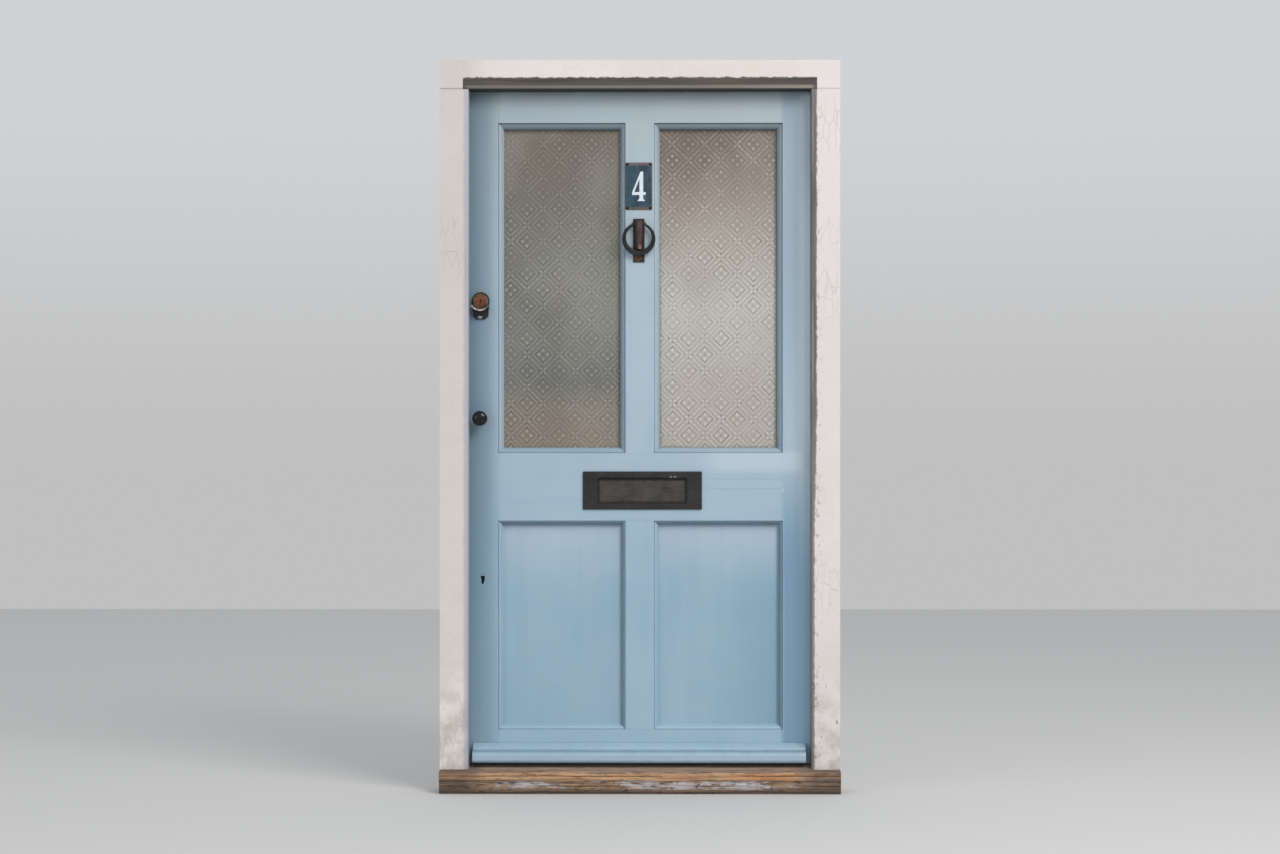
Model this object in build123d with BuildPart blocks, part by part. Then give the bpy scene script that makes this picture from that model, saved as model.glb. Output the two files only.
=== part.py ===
from build123d import *
import os

os.makedirs("parts", exist_ok=True)

# Half-glazed timber front door in its frame. Millimetres, +Z up, the outside face looks along -Y,
# +X is to the right seen from outside. Origin: middle of the frame's width, underside of the sill,
# middle of the frame's depth.

# ---------------------------------------------------------------- driving dimensions
leaf_w, leaf_h, leaf_t = 914.0, 1768.0, 44.0
leaf_z = 72.0                      # underside of the leaf
leaf_y0, leaf_y1 = 3.0, 47.0       # outer and inner face of the leaf
edge_gap = 3.0                     # leaf edge to rebate, both sides and top
rebate = 15.0                      # how far the stop covers the rebate face
jamb_face = 75.0                   # jamb width seen from outside, stop included
frame_y0, frame_y1 = -48.0, 48.0   # outer and inner face of the frame
stop_y = 2.0                       # face of the stop that the leaf shuts against
sill_nose_y, sill_in_z, sill_nose_z = -80.0, 68.0, 56.0

lock_stile_w, hinge_stile_w = 86.0, 84.0
muntin_x0, muntin_x1 = -38.0, 37.0
top_rail_h, bottom_rail_h = 93.0, 88.0
lock_rail_z0, lock_rail_z1 = 634.0, 811.5     # above the leaf's underside
lip_w, lip_y = 14.0, 33.0          # the inner lip that glass and panels bed against
bead_w, bead_y = 14.0, 7.0         # planted bead, its front set back from the stile face
tenon_y0, tenon_y1, tenon_l = 17.0, 30.0, 58.0
glass_t, panel_t = 5.0, 9.0

fix_zs_outer, fix_zs_inner = (180.0, 1790.0), (700.0, 1150.0)
fix_r, fix_y = 5.0, 25.0

bar_x0, bar_x1 = -436.0, 432.0     # weather bar
fit_x = -417.0                     # centre line of the lock fittings
latch_z = leaf_z + 1209.0
knob_z = leaf_z + 901.0
dead_x, dead_z = -412.0, leaf_z + 487.0
slot_x, slot_z = 6.0, leaf_z + 713.0
slot_w, slot_h = 230.0, 65.0
plate_w, plate_h, plate_t = 312.0, 100.0, 6.0
mark_x = -3.0                      # plaque and knocker centre line
plaque_w, plaque_h, plaque_z = 70.0, 124.0, leaf_z + 1509.0
knock_w, knock_h, knock_z = 30.0, 114.0, leaf_z + 1367.0
ring_r, ring_in_r, ring_shift, ring_z, ring_y = 43.5, 33.5, 4.0, leaf_z + 1370.0, -10.0
pivot_z = leaf_z + 1409.0
hinge_zs = (347.0, 993.0, 1640.0)
hinge_l, knuckle_r, pin_r = 100.0, 6.0, 3.0
run = 0.05                         # radial clearance of running fits

# ---------------------------------------------------------------- derived
x0, x1 = -leaf_w / 2, leaf_w / 2
z0, z1 = leaf_z, leaf_z + leaf_h
reb_x = leaf_w / 2 + edge_gap              # rebate face of a jamb
stop_x = reb_x - rebate                    # face of the stop seen from outside
out_x = stop_x + jamb_face                 # outer side of the frame
head_reb_z = z1 + edge_gap
head_stop_z = head_reb_z - rebate
head_top_z = head_stop_z + jamb_face
open_x = {"left": (x0 + lock_stile_w, muntin_x0), "right": (muntin_x1, x1 - hinge_stile_w)}
low_z = (z0 + bottom_rail_h, z0 + lock_rail_z0)
up_z = (z0 + lock_rail_z1, z1 - top_rail_h)
pin_x, pin_y = x1 + edge_gap / 2, leaf_y1 + 1.0 + knuckle_r + 0.5


def block(xa, xb, ya, yb, za, zb, mode=Mode.ADD):
    """A square-edged block between its faces."""
    with Locations(((xa + xb) / 2, (ya + yb) / 2, (za + zb) / 2)):
        Box(abs(xb - xa), abs(yb - ya), abs(zb - za), mode=mode)


def rod_y(x, z, ya, yb, r, mode=Mode.ADD):
    """A round bar along Y."""
    with Locations(Plane(origin=(x, ya, z), z_dir=(0, 1, 0))):
        Cylinder(r, yb - ya, align=(Align.CENTER, Align.CENTER, Align.MIN), mode=mode)


def rod_x(y, z, xa, xb, r, mode=Mode.ADD):
    """A round bar along X."""
    with Locations(Plane(origin=(xa, y, z), z_dir=(1, 0, 0))):
        Cylinder(r, xb - xa, align=(Align.CENTER, Align.CENTER, Align.MIN), mode=mode)


def screw(at, out, length, r=2.0, head_r=4.0, slack=0.0, mode=Mode.ADD):
    """A countersunk wood screw with its head flush at a point, or with slack its hole."""
    head_h = head_r - r
    with Locations(Plane(origin=at, z_dir=out)):
        Cone(r + slack, head_r + slack, head_h, align=(Align.CENTER, Align.CENTER, Align.MAX), mode=mode)
        Cylinder(r + slack, length + slack, align=(Align.CENTER, Align.CENTER, Align.MAX), mode=mode)


def slot_cut(at, out, r=4.0):
    """The driver slot in a screw's head."""
    with Locations(Plane(origin=at, z_dir=out)):
        Box(2 * r + 1, 1.0, 0.9, align=(Align.CENTER, Align.CENTER, Align.MAX), mode=Mode.SUBTRACT)


def save(builder, label):
    builder.part.label = label
    export_step(builder.part, "parts/" + label + ".step")


# screw positions: (point on the face, outward direction)
hinge_dz = (-40.0, -15.0, 15.0, 40.0)
hinge_dy = (20.0, 34.0, 20.0, 34.0)
frame_screw_at = [((reb_x, y, z + dz), (-1, 0, 0)) for z in hinge_zs for dz, y in zip(hinge_dz, hinge_dy)]
door_screw_at = [((x1, y, z + dz), (1, 0, 0)) for z in hinge_zs for dz, y in zip(hinge_dz, hinge_dy)]
keep_x0, keep_x1 = -490.0, -462.0
keep_screw_at = [((-477.0, frame_y1 + 4.0, latch_z + dz), (0, 1, 0)) for dz in (-33.0, 33.0)]
dead_keep_screw_at = [((-reb_x, 25.0, dead_z + dz), (1, 0, 0)) for dz in (-45.0, 45.0)]
forend_screw_at = [((x0, 25.0, dead_z + dz), (-1, 0, 0)) for dz in (-55.0, 55.0)]
case_x0, case_x1 = x0 + 1.0, -393.0
case_y1 = leaf_y1 + 27.0
case_screw_at = [((x, case_y1, latch_z + dz), (0, 1, 0)) for x in (-446.0, -403.0) for dz in (-37.0, 37.0)]
plaque_screw_at = [(mark_x + sx * (plaque_w / 2 - 5), plaque_z + sz * (plaque_h / 2 - 5)) for sx in (-1, 1) for sz in (-1, 1)]
letter_bolt_x = [slot_x - 139.0, slot_x + 139.0]
knocker_bolt_z = [knock_z - 47.0, knock_z + 49.0]

# ---------------------------------------------------------------- frame
# sill: weathered top, rounded nose, drip groove under the nose, trenches for the jambs' tenons
with BuildPart() as sill:
    with BuildSketch(Plane.YZ.offset(-out_x)) as sill_section:
        with BuildLine():
            Polyline(
                (frame_y1, 0), (frame_y1, sill_in_z), (0, sill_in_z),
                (sill_nose_y, sill_nose_z), (sill_nose_y, 0), (sill_nose_y + 12, 0),
                (sill_nose_y + 12, 4), (sill_nose_y + 18, 4), (sill_nose_y + 18, 0), (frame_y1, 0),
            )
        make_face()
    extrude(amount=2 * out_x)
    nose = sill.edges().filter_by(Axis.X).group_by(Axis.Y)[0].sort_by(Axis.Z)[-1]
    fillet(nose, 5)
    for s in (-1, 1):
        block(s * (out_x - 18) - 14, s * (out_x - 18) + 4, -6, 8, sill_in_z - 30, sill_in_z + 5, Mode.SUBTRACT)
save(sill, "sill")

# head: rebated underneath on the inside, stub mortices for the jambs
with BuildPart() as head:
    block(-out_x, out_x, frame_y0, frame_y1, head_stop_z, head_top_z)
    block(-out_x, out_x, stop_y, frame_y1, head_stop_z - 5, head_reb_z, Mode.SUBTRACT)
    outer_arris = head.edges().filter_by(Axis.X).group_by(Axis.Z)[0].sort_by(Axis.Y)[0]
    fillet(outer_arris, 4)
    for s in (-1, 1):
        block(s * (out_x - 18) - 14, s * (out_x - 18) + 4, -30, -16, head_stop_z - 5, head_stop_z + 35, Mode.SUBTRACT)
save(head, "head")

for side, s in (("jamb_lock_side", -1), ("jamb_hinge_side", 1)):
    with BuildPart() as jamb:
        block(s * stop_x, s * out_x, frame_y0, frame_y1, 0, head_top_z)
        block(s * (stop_x - 5), s * reb_x, stop_y, frame_y1 + 1, -1, head_top_z + 1, Mode.SUBTRACT)
        arris = jamb.edges().filter_by(Axis.Z).group_by(Axis.Y)[0].sort_by(Axis.X)[-1 if s < 0 else 0]
        fillet(arris, 4)
        # scribed to the sill's weathering and shouldered under the head
        with BuildSketch(Plane.YZ.offset(-out_x - 5)) as below:
            with BuildLine():
                Polyline(
                    (frame_y1 + 5, -5), (frame_y1 + 5, sill_in_z), (0, sill_in_z),
                    (sill_nose_y, sill_nose_z), (sill_nose_y, -5), (frame_y1 + 5, -5),
                )
            make_face()
        extrude(below.sketch, amount=2 * out_x + 10, mode=Mode.SUBTRACT)
        block(s * (stop_x - 5), s * (out_x + 5), frame_y0 - 5, stop_y, head_stop_z, head_top_z + 5, Mode.SUBTRACT)
        block(s * (stop_x - 5), s * (out_x + 5), stop_y, frame_y1 + 5, head_reb_z, head_top_z + 5, Mode.SUBTRACT)
        # stub tenons top and bottom
        block(s * (out_x - 18) - 14, s * (out_x - 18) + 4, -30, -16, head_stop_z - 1, head_stop_z + 35)
        block(s * (out_x - 18) - 14, s * (out_x - 18) + 4, -6, 8, sill_in_z - 30, sill_in_z + 1)
        # fixing holes through to the wall, in the rebate
        for z in fix_zs_outer + fix_zs_inner:
            rod_x(fix_y, z, -out_x - 5 if s < 0 else reb_x - 5, -reb_x + 5 if s < 0 else out_x + 5, fix_r, Mode.SUBTRACT)
        if s > 0:
            for z in hinge_zs:   # housings for the hinge leaves
                block(reb_x - 1, reb_x + 2.5, 12, frame_y1 + 1, z - hinge_l / 2, z + hinge_l / 2, Mode.SUBTRACT)
            for at, out in frame_screw_at:
                screw(at, out, 30, slack=run, mode=Mode.SUBTRACT)
        else:
            # dead bolt pocket and its keep's housing
            block(-reb_x - 2.5, -reb_x + 1, 14, 36, dead_z - 58, dead_z + 58, Mode.SUBTRACT)
            block(-reb_x - 21, -reb_x, 17.7, 32.3, dead_z + 2.8, dead_z + 33.2, Mode.SUBTRACT)
            for at, out in dead_keep_screw_at:
                screw(at, out, 26, slack=run, mode=Mode.SUBTRACT)
            for at, out in keep_screw_at:
                screw(at, out, 26, slack=run, mode=Mode.SUBTRACT)
    save(jamb, side)

# ---------------------------------------------------------------- leaf: stiles, rails, muntins
tenons = {
    "top": (z1 - 76, z1 - 22),
    "lock_a": (z0 + lock_rail_z0 + 12, z0 + lock_rail_z0 + 60),
    "lock_b": (z0 + lock_rail_z1 - 60, z0 + lock_rail_z1 - 12),
    "bottom": (z0 + 16, z0 + 74),
}
keyhole_r = 5.0

for name, s in (("lock_stile", -1), ("hinge_stile", 1)):
    inner = open_x["left"][0] if s < 0 else open_x["right"][1]
    edge = x0 if s < 0 else x1
    with BuildPart() as stile:
        block(edge, inner, leaf_y0, leaf_y1, z0, z1)
        block(inner, inner - s * lip_w, lip_y, leaf_y1, z0, z1)
        for za, zb in tenons.values():
            block(inner - s * 20, inner + s * tenon_l, tenon_y0, tenon_y1, za, zb, Mode.SUBTRACT)
        if s < 0:
            # mortice for the dead lock and its forend
            block(x0 - 1, x0 + 3, 14, 36, dead_z - 65, dead_z + 65, Mode.SUBTRACT)
            block(x0 - 1, -391.8, 17.8, 32.2, dead_z - 39, dead_z + 39, Mode.SUBTRACT)
            for at, out in forend_screw_at:
                screw(at, out, 26, slack=run, mode=Mode.SUBTRACT)
            # keyhole, cut through from both faces
            rod_y(dead_x, dead_z, leaf_y0 - 1, leaf_y1 + 1, keyhole_r, Mode.SUBTRACT)
            block(dead_x - 3, dead_x + 3, leaf_y0 - 1, leaf_y1 + 1, dead_z - 18, dead_z, Mode.SUBTRACT)
            # cylinder, knob bolt and latch case screws
            rod_y(fit_x, latch_z, leaf_y0 - 1, leaf_y1 + 1, 16, Mode.SUBTRACT)
            rod_y(fit_x, knob_z, leaf_y0 - 1, leaf_y1 + 1, 4.5, Mode.SUBTRACT)
            for (cx, _, cz), out in case_screw_at:
                rod_y(cx, cz, leaf_y1 - 18, leaf_y1 + 1, 2 + run, Mode.SUBTRACT)
        else:
            for z in hinge_zs:
                block(x1 - 2.5, x1 + 1, 12, leaf_y1 + 1, z - hinge_l / 2, z + hinge_l / 2, Mode.SUBTRACT)
            for at, out in door_screw_at:
                screw(at, out, 30, slack=run, mode=Mode.SUBTRACT)
        for e in stile.edges().filter_by(Axis.Z).filter_by(lambda e: abs(e.center().X - edge) < 0.01 and e.length > 1000):
            chamfer(e, 1.0)
    save(stile, name)

lx0, rx1 = open_x["left"][0], open_x["right"][1]


def rail(za, zb, lip_low, lip_high, names):
    """A rail: front layer between the stiles, back layer with its lips, and its tenons."""
    block(lx0, rx1, leaf_y0, lip_y, za, zb)
    block(lx0 + lip_w, rx1 - lip_w, lip_y, leaf_y1, za - lip_low, zb + lip_high)
    for n in names:
        ta, tb = tenons[n]
        block(lx0 - tenon_l, lx0 + 1, tenon_y0, tenon_y1, ta, tb)
        block(rx1 - 1, rx1 + tenon_l, tenon_y0, tenon_y1, ta, tb)


muntin_tenon = ((muntin_x0 + muntin_x1) / 2 - 24, (muntin_x0 + muntin_x1) / 2 + 24)

with BuildPart() as top_rail:
    rail(up_z[1], z1, lip_w, 0, ["top"])
    block(*muntin_tenon, tenon_y0, tenon_y1, up_z[1] - 20, up_z[1] + 30, Mode.SUBTRACT)
save(top_rail, "top_rail")

with BuildPart() as bottom_rail:
    rail(z0, low_z[0], 0, lip_w, ["bottom"])
    block(*muntin_tenon, tenon_y0, tenon_y1, low_z[0] - 30, low_z[0] + 20, Mode.SUBTRACT)
save(bottom_rail, "bottom_rail")

slot_cut_w, slot_cut_z0, slot_cut_z1 = 250.0, slot_z - 41.0, slot_z + 46.0
with BuildPart() as lock_rail:
    rail(low_z[1], up_z[0], lip_w, lip_w, ["lock_a", "lock_b"])
    block(*muntin_tenon, tenon_y0, tenon_y1, low_z[1] - 20, low_z[1] + 24, Mode.SUBTRACT)
    block(*muntin_tenon, tenon_y0, tenon_y1, up_z[0] - 30, up_z[0] + 20, Mode.SUBTRACT)
    # the letter slot, and holes for the letterplate's bolts and bosses
    block(slot_x - slot_cut_w / 2, slot_x + slot_cut_w / 2, leaf_y0 - 1, leaf_y1 + 1, slot_cut_z0, slot_cut_z1, Mode.SUBTRACT)
    for bx in letter_bolt_x:
        rod_y(bx, slot_z, leaf_y0 - 1, leaf_y1 + 1, 4.0, Mode.SUBTRACT)
        rod_y(bx, slot_z, leaf_y0 - 1, leaf_y0 + 11, 6.3, Mode.SUBTRACT)
save(lock_rail, "lock_rail")

for name, (za, zb) in (("upper_muntin", up_z), ("lower_muntin", low_z)):
    with BuildPart() as muntin:
        block(muntin_x0, muntin_x1, leaf_y0, lip_y, za, zb)
        block(muntin_x0 - lip_w, muntin_x1 + lip_w, lip_y, leaf_y1, za + lip_w, zb - lip_w)
        if name == "upper_muntin":
            block(*muntin_tenon, tenon_y0, tenon_y1, za - 30, za + 1)
            block(*muntin_tenon, tenon_y0, tenon_y1, zb - 1, zb + 30)
            for kz in knocker_bolt_z:
                rod_y(mark_x, kz, leaf_y0 - 1, leaf_y1 + 1, 3.2, Mode.SUBTRACT)
            for px, pz in plaque_screw_at:
                rod_y(px, pz, leaf_y0 - 1, leaf_y0 + 17, 1.6 + run, Mode.SUBTRACT)
        else:
            block(*muntin_tenon, tenon_y0, tenon_y1, za - 30, za + 1)
            block(*muntin_tenon, tenon_y0, tenon_y1, zb - 1, zb + 24)
    save(muntin, name)

# ---------------------------------------------------------------- panes, panels, beads
for side, (xa, xb) in open_x.items():
    with BuildPart() as glass:
        block(xa + 1.5, xb - 1.5, lip_y - glass_t, lip_y, up_z[0] + 1.5, up_z[1] - 1.5)
    save(glass, "glass_" + side)

    with BuildPart() as panel:
        block(xa + 1.5, xb - 1.5, lip_y - panel_t, lip_y, low_z[0] + 1.5, low_z[1] - 1.5)
    save(panel, "panel_" + side)

    for level, (za, zb), back_y in (("upper", up_z, lip_y - glass_t), ("lower", low_z, lip_y - panel_t)):
        cx, cz, w, h = (xa + xb) / 2, (za + zb) / 2, xb - xa, zb - za
        with BuildPart() as beads:
            with BuildSketch(Plane.XZ.offset(-back_y)):
                with Locations((cx, cz)):
                    Rectangle(w, h)
                    Rectangle(w - 2 * bead_w, h - 2 * bead_w, mode=Mode.SUBTRACT)
            extrude(amount=back_y - bead_y)
            front = beads.faces().sort_by(Axis.Y)[0]
            inner_edges = front.inner_wires()[0].edges()
            chamfer(inner_edges, 8.0)
            # four mitres
            for sx in (-1, 1):
                for sz in (-1, 1):
                    with BuildSketch(Plane.XZ.offset(-(back_y + 1))) as mitre:
                        with Locations((cx + sx * w / 2, cz + sz * h / 2)):
                            Rectangle(60, 0.3, rotation=45 * sx * sz)
                    extrude(mitre.sketch, amount=back_y - bead_y + 2, mode=Mode.SUBTRACT)
        save(beads, "beads_" + level + "_" + side)

# ---------------------------------------------------------------- weather bar
with BuildPart() as weather_bar:
    with BuildSketch(Plane.YZ.offset(bar_x0)) as bar_section:
        with BuildLine():
            top = Line((leaf_y0, z0 + 4), (leaf_y0, z0 + 53))
            cap = Line(top @ 1, (leaf_y0 - 5, z0 + 53))
            slope = Line(cap @ 1, (-25, z0 + 37))
            quirk = Line(slope @ 1, (-25, z0 + 34.5))
            ledge = Line(quirk @ 1, (-29, z0 + 34))
            nose_arc = ThreePointArc(ledge @ 1, (-37.5, z0 + 24), (-38, z0 + 11))
            chin = Line(nose_arc @ 1, (-35, z0 + 4))
            under = Polyline(chin @ 1, (-27, z0 + 4), (-27, z0 + 7), (-23, z0 + 7), (-23, z0 + 4), top @ 0)
        make_face()
    extrude(amount=bar_x1 - bar_x0)
save(weather_bar, "weather_bar")

# ---------------------------------------------------------------- letterplate
rod_at = (11.0, slot_z + 38.0)       # flap rod: y and z
with BuildPart() as letterplate:
    with BuildSketch(Plane.XZ.offset(-leaf_y0)):
        with Locations((slot_x, slot_z)):
            RectangleRounded(plate_w, plate_h, 3)
            Rectangle(slot_w, slot_h, mode=Mode.SUBTRACT)
    extrude(amount=plate_t)
    face = letterplate.faces().sort_by(Axis.Y)[0]
    chamfer(face.outer_wire().edges(), length=2.4, length2=4.5, reference=face)
    face = letterplate.faces().sort_by(Axis.Y)[0]
    chamfer(face.inner_wires()[0].edges(), 1.6)
    for s in (-1, 1):   # ears that hold the flap's rod
        block(slot_x + s * 119.6, slot_x + s * 124, leaf_y0 - 0.5, rod_at[0] + 4.5, rod_at[1] - 6, rod_at[1] + 6)
    for bx in letter_bolt_x:
        rod_y(bx, slot_z, leaf_y0 - 0.5, leaf_y0 + 10, 6)
        rod_y(bx, slot_z, leaf_y0 - 1.0, leaf_y0 + 11, 3.0, Mode.SUBTRACT)
    rod_x(*rod_at, slot_x - 130, slot_x + 130, 2.5 + 0.02, Mode.SUBTRACT)
save(letterplate, "letterplate")

with BuildPart() as flap_rod:
    rod_x(*rod_at, slot_x - 124.5, slot_x + 124.5, 2.5)
save(flap_rod, "flap_rod")

with BuildPart() as flap:
    block(slot_x - 118.5, slot_x + 118.5, leaf_y0 + 0.5, leaf_y0 + 3.5, slot_z - 36, rod_at[1] + 1.4)
    block(slot_x - 108, slot_x + 108, leaf_y0 + 3.5, leaf_y0 + 5.0, slot_z - 28, slot_z + 26)
    for xa, xb in ((-118.5, -78), (-20, 20), (78, 118.5)):
        rod_x(*rod_at, slot_x + xa, slot_x + xb, 4.3)
        block(slot_x + xa, slot_x + xb, leaf_y0 + 1, rod_at[0], rod_at[1] - 4, rod_at[1] + 1.4)
    rod_x(*rod_at, slot_x - 130, slot_x + 130, 2.5 + run, Mode.SUBTRACT)
save(flap, "letterplate_flap")

with BuildPart() as letterplate_bolts:
    for bx in letter_bolt_x:
        rod_y(bx, slot_z, leaf_y0 + 0.2, leaf_y1 + 2, 3.0 - run)
        rod_y(bx, slot_z, leaf_y1, leaf_y1 + 1.4, 9)
        rod_y(bx, slot_z, leaf_y1 + 1.4, leaf_y1 + 5, 5.5)
        block(bx - 6, bx + 6, leaf_y1 + 4, leaf_y1 + 6, slot_z - 0.6, slot_z + 0.6, Mode.SUBTRACT)
save(letterplate_bolts, "letterplate_bolts")

# ---------------------------------------------------------------- number plaque
with BuildPart() as plaque:
    with BuildSketch(Plane.XZ.offset(-leaf_y0)):
        with Locations((mark_x, plaque_z)):
            RectangleRounded(plaque_w, plaque_h, 3.5)
    extrude(amount=2.2)
    face = plaque.faces().sort_by(Axis.Y)[0]
    chamfer(face.outer_wire().edges(), 0.8)
    for px, pz in plaque_screw_at:
        rod_y(px, pz, leaf_y0 - 3, leaf_y0 + 1, 1.6 + run, Mode.SUBTRACT)
save(plaque, "number_plaque")

with BuildPart() as plaque_screws:
    for px, pz in plaque_screw_at:
        rod_y(px, pz, leaf_y0 - 2.4, leaf_y0 + 16, 1.6)
        with Locations(Plane(origin=(px, leaf_y0 - 2.2, pz), z_dir=(0, -1, 0))):
            Cone(3.8, 2.2, 2.0, align=(Align.CENTER, Align.CENTER, Align.MIN))
        block(px - 5, px + 5, leaf_y0 - 5, leaf_y0 - 3.4, pz - 0.5, pz + 0.5, Mode.SUBTRACT)
save(plaque_screws, "plaque_screws")

# ---------------------------------------------------------------- ring knocker
with BuildPart() as knocker_plate:
    with BuildSketch(Plane.XZ.offset(-leaf_y0)):
        with Locations((mark_x, knock_z)):
            RectangleRounded(knock_w, knock_h, 2)
    extrude(amount=4)
    face = knocker_plate.faces().sort_by(Axis.Y)[0]
    chamfer(face.outer_wire().edges(), 1.2)
    # strike pad that the ring rests on
    block(mark_x - 11, mark_x + 11, -5.2, 0, ring_z - ring_r + 1.5, ring_z - ring_r + 13)
    for kz in knocker_bolt_z:
        rod_y(mark_x, kz, -6, leaf_y0 + 1, 3.0, Mode.SUBTRACT)
save(knocker_plate, "knocker_plate")

with BuildPart() as knocker_tongue:
    # a tapered half-round strap, looped at the top round the ring's bar
    with BuildSketch(Plane.XY.offset(pivot_z + 9)):
        with BuildLine():
            a = Line((mark_x - 12.5, -1), (mark_x + 12.5, -1))
            b = Line(a @ 1, (mark_x + 12.5, -12))
            c = ThreePointArc(b @ 1, (mark_x, -17.5), (mark_x - 12.5, -12))
            d = Line(c @ 1, a @ 0)
        make_face()
    with BuildSketch(Plane.XY.offset(pivot_z - 66)):
        with BuildLine():
            a = Line((mark_x - 9.5, -6), (mark_x + 9.5, -6))
            b = Line(a @ 1, (mark_x + 9.5, -12))
            c = ThreePointArc(b @ 1, (mark_x, -19), (mark_x - 9.5, -12))
            d = Line(c @ 1, a @ 0)
        make_face()
    loft()
    block(mark_x - 20, mark_x + 20, -5.5, 4, pivot_z - 80, pivot_z - 8, Mode.SUBTRACT)
    rod_x(ring_y, pivot_z, mark_x - 20, mark_x + 20, 3.5 + run, Mode.SUBTRACT)
    fillet(knocker_tongue.edges().filter_by(lambda e: e.center().Z < pivot_z - 65.9 and e.center().Y < -12.5), 1.5)
save(knocker_tongue, "knocker_tongue")

with BuildPart() as knocker_ring:
    with BuildSketch(Plane.XZ.offset(-(ring_y + 4.5))):
        with Locations((mark_x, ring_z)):
            Circle(ring_r)
        with Locations((mark_x, ring_z + ring_shift)):
            Circle(ring_in_r, mode=Mode.SUBTRACT)
        with Locations((mark_x, pivot_z + 6)):
            Rectangle(29, 40, mode=Mode.SUBTRACT)
    extrude(amount=9)
    fillet(knocker_ring.edges().filter_by(lambda e: e.geom_type == GeomType.CIRCLE), 2.6)
    rod_x(ring_y, pivot_z, mark_x - 19, mark_x + 19, 3.5)
save(knocker_ring, "knocker_ring")

with BuildPart() as knocker_bolts:
    for kz in knocker_bolt_z:
        rod_y(mark_x, kz, -1.5 if kz < knock_z else -0.9, leaf_y1 + 6, 3.0 - run)
        if kz < knock_z:
            with Locations(Plane(origin=(mark_x, -1, kz), z_dir=(0, -1, 0))):
                Cone(5.5, 3.0, 2.6, align=(Align.CENTER, Align.CENTER, Align.MIN))
        rod_y(mark_x, kz, leaf_y1, leaf_y1 + 1.2, 7.5)
        with BuildSketch(Plane.XZ.offset(-(leaf_y1 + 5.2))) as nut:
            with Locations((mark_x, kz)):
                RegularPolygon(5.5, 6)
        extrude(nut.sketch, amount=4.0)
save(knocker_bolts, "knocker_bolts")

# ---------------------------------------------------------------- rim cylinder, its pull, and the night latch
with BuildPart() as cylinder_pull:
    with BuildSketch(Plane.XZ.offset(-leaf_y0)):
        with Locations((fit_x, latch_z)):
            Circle(23)
        with BuildLine():
            Polyline((fit_x - 23, latch_z), (fit_x + 23, latch_z), (fit_x + 20, latch_z - 40), (fit_x + 12, latch_z - 48),
                     (fit_x - 12, latch_z - 48), (fit_x - 20, latch_z - 40), (fit_x - 23, latch_z))
        make_face()
    extrude(amount=4)
    # raised collar round the cylinder
    rod_y(fit_x, latch_z, -9, 0, 20.5)
    # flared lip under the cylinder, hollow below for the fingers
    with BuildSketch(Plane.YZ.offset(fit_x)) as lip:
        with BuildLine():
            Polyline((-0.5, latch_z - 16.5), (-9, latch_z - 17.5), (-18, latch_z - 20), (-25, latch_z - 24.5),
                     (-26, latch_z - 27.5), (-18, latch_z - 24.5), (-9, latch_z - 22), (-0.5, latch_z - 21.5), (-0.5, latch_z - 16.5))
        make_face()
    revolve(lip.sketch, axis=Axis((fit_x, 0, latch_z), (0, 1, 0)), revolution_arc=62)
    revolve(lip.sketch, axis=Axis((fit_x, 0, latch_z), (0, 1, 0)), revolution_arc=-62)
    rod_y(fit_x, latch_z, -30, leaf_y0 + 1, 15.0 + run, Mode.SUBTRACT)
save(cylinder_pull, "cylinder_pull")

with BuildPart() as lock_cylinder:
    rod_y(fit_x, latch_z, -10, 30, 15.0)
    rod_y(fit_x, latch_z, -11, 31, 7.5, Mode.SUBTRACT)
    rim = lock_cylinder.edges().filter_by(GeomType.CIRCLE).group_by(Axis.Y)[0]
    chamfer(rim.sort_by(SortBy.RADIUS)[-1], 1.5)
    for dz in (-11.0, 11.0):
        rod_y(fit_x, latch_z + dz, 14, 31, 2.0 + run, Mode.SUBTRACT)
save(lock_cylinder, "lock_cylinder")

with BuildPart() as cylinder_bolts:
    for dz in (-11.0, 11.0):
        rod_y(fit_x, latch_z + dz, 15, leaf_y1 + 2.6, 2.0)
        rod_y(fit_x, latch_z + dz, leaf_y1 + 2.55, leaf_y1 + 4.6, 3.4)
save(cylinder_bolts, "cylinder_bolts")

with BuildPart() as cylinder_plug:
    rod_y(fit_x, latch_z, -10.6, 30, 7.5 - run)
    block(fit_x - 1.2, fit_x + 1.2, -12, 12, latch_z - 5.2, latch_z + 4.4, Mode.SUBTRACT)
    block(fit_x - 2.6, fit_x + 2.6, 29, leaf_y1 + 9.5, latch_z - 0.9, latch_z + 0.9)
save(cylinder_plug, "cylinder_plug")

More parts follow.
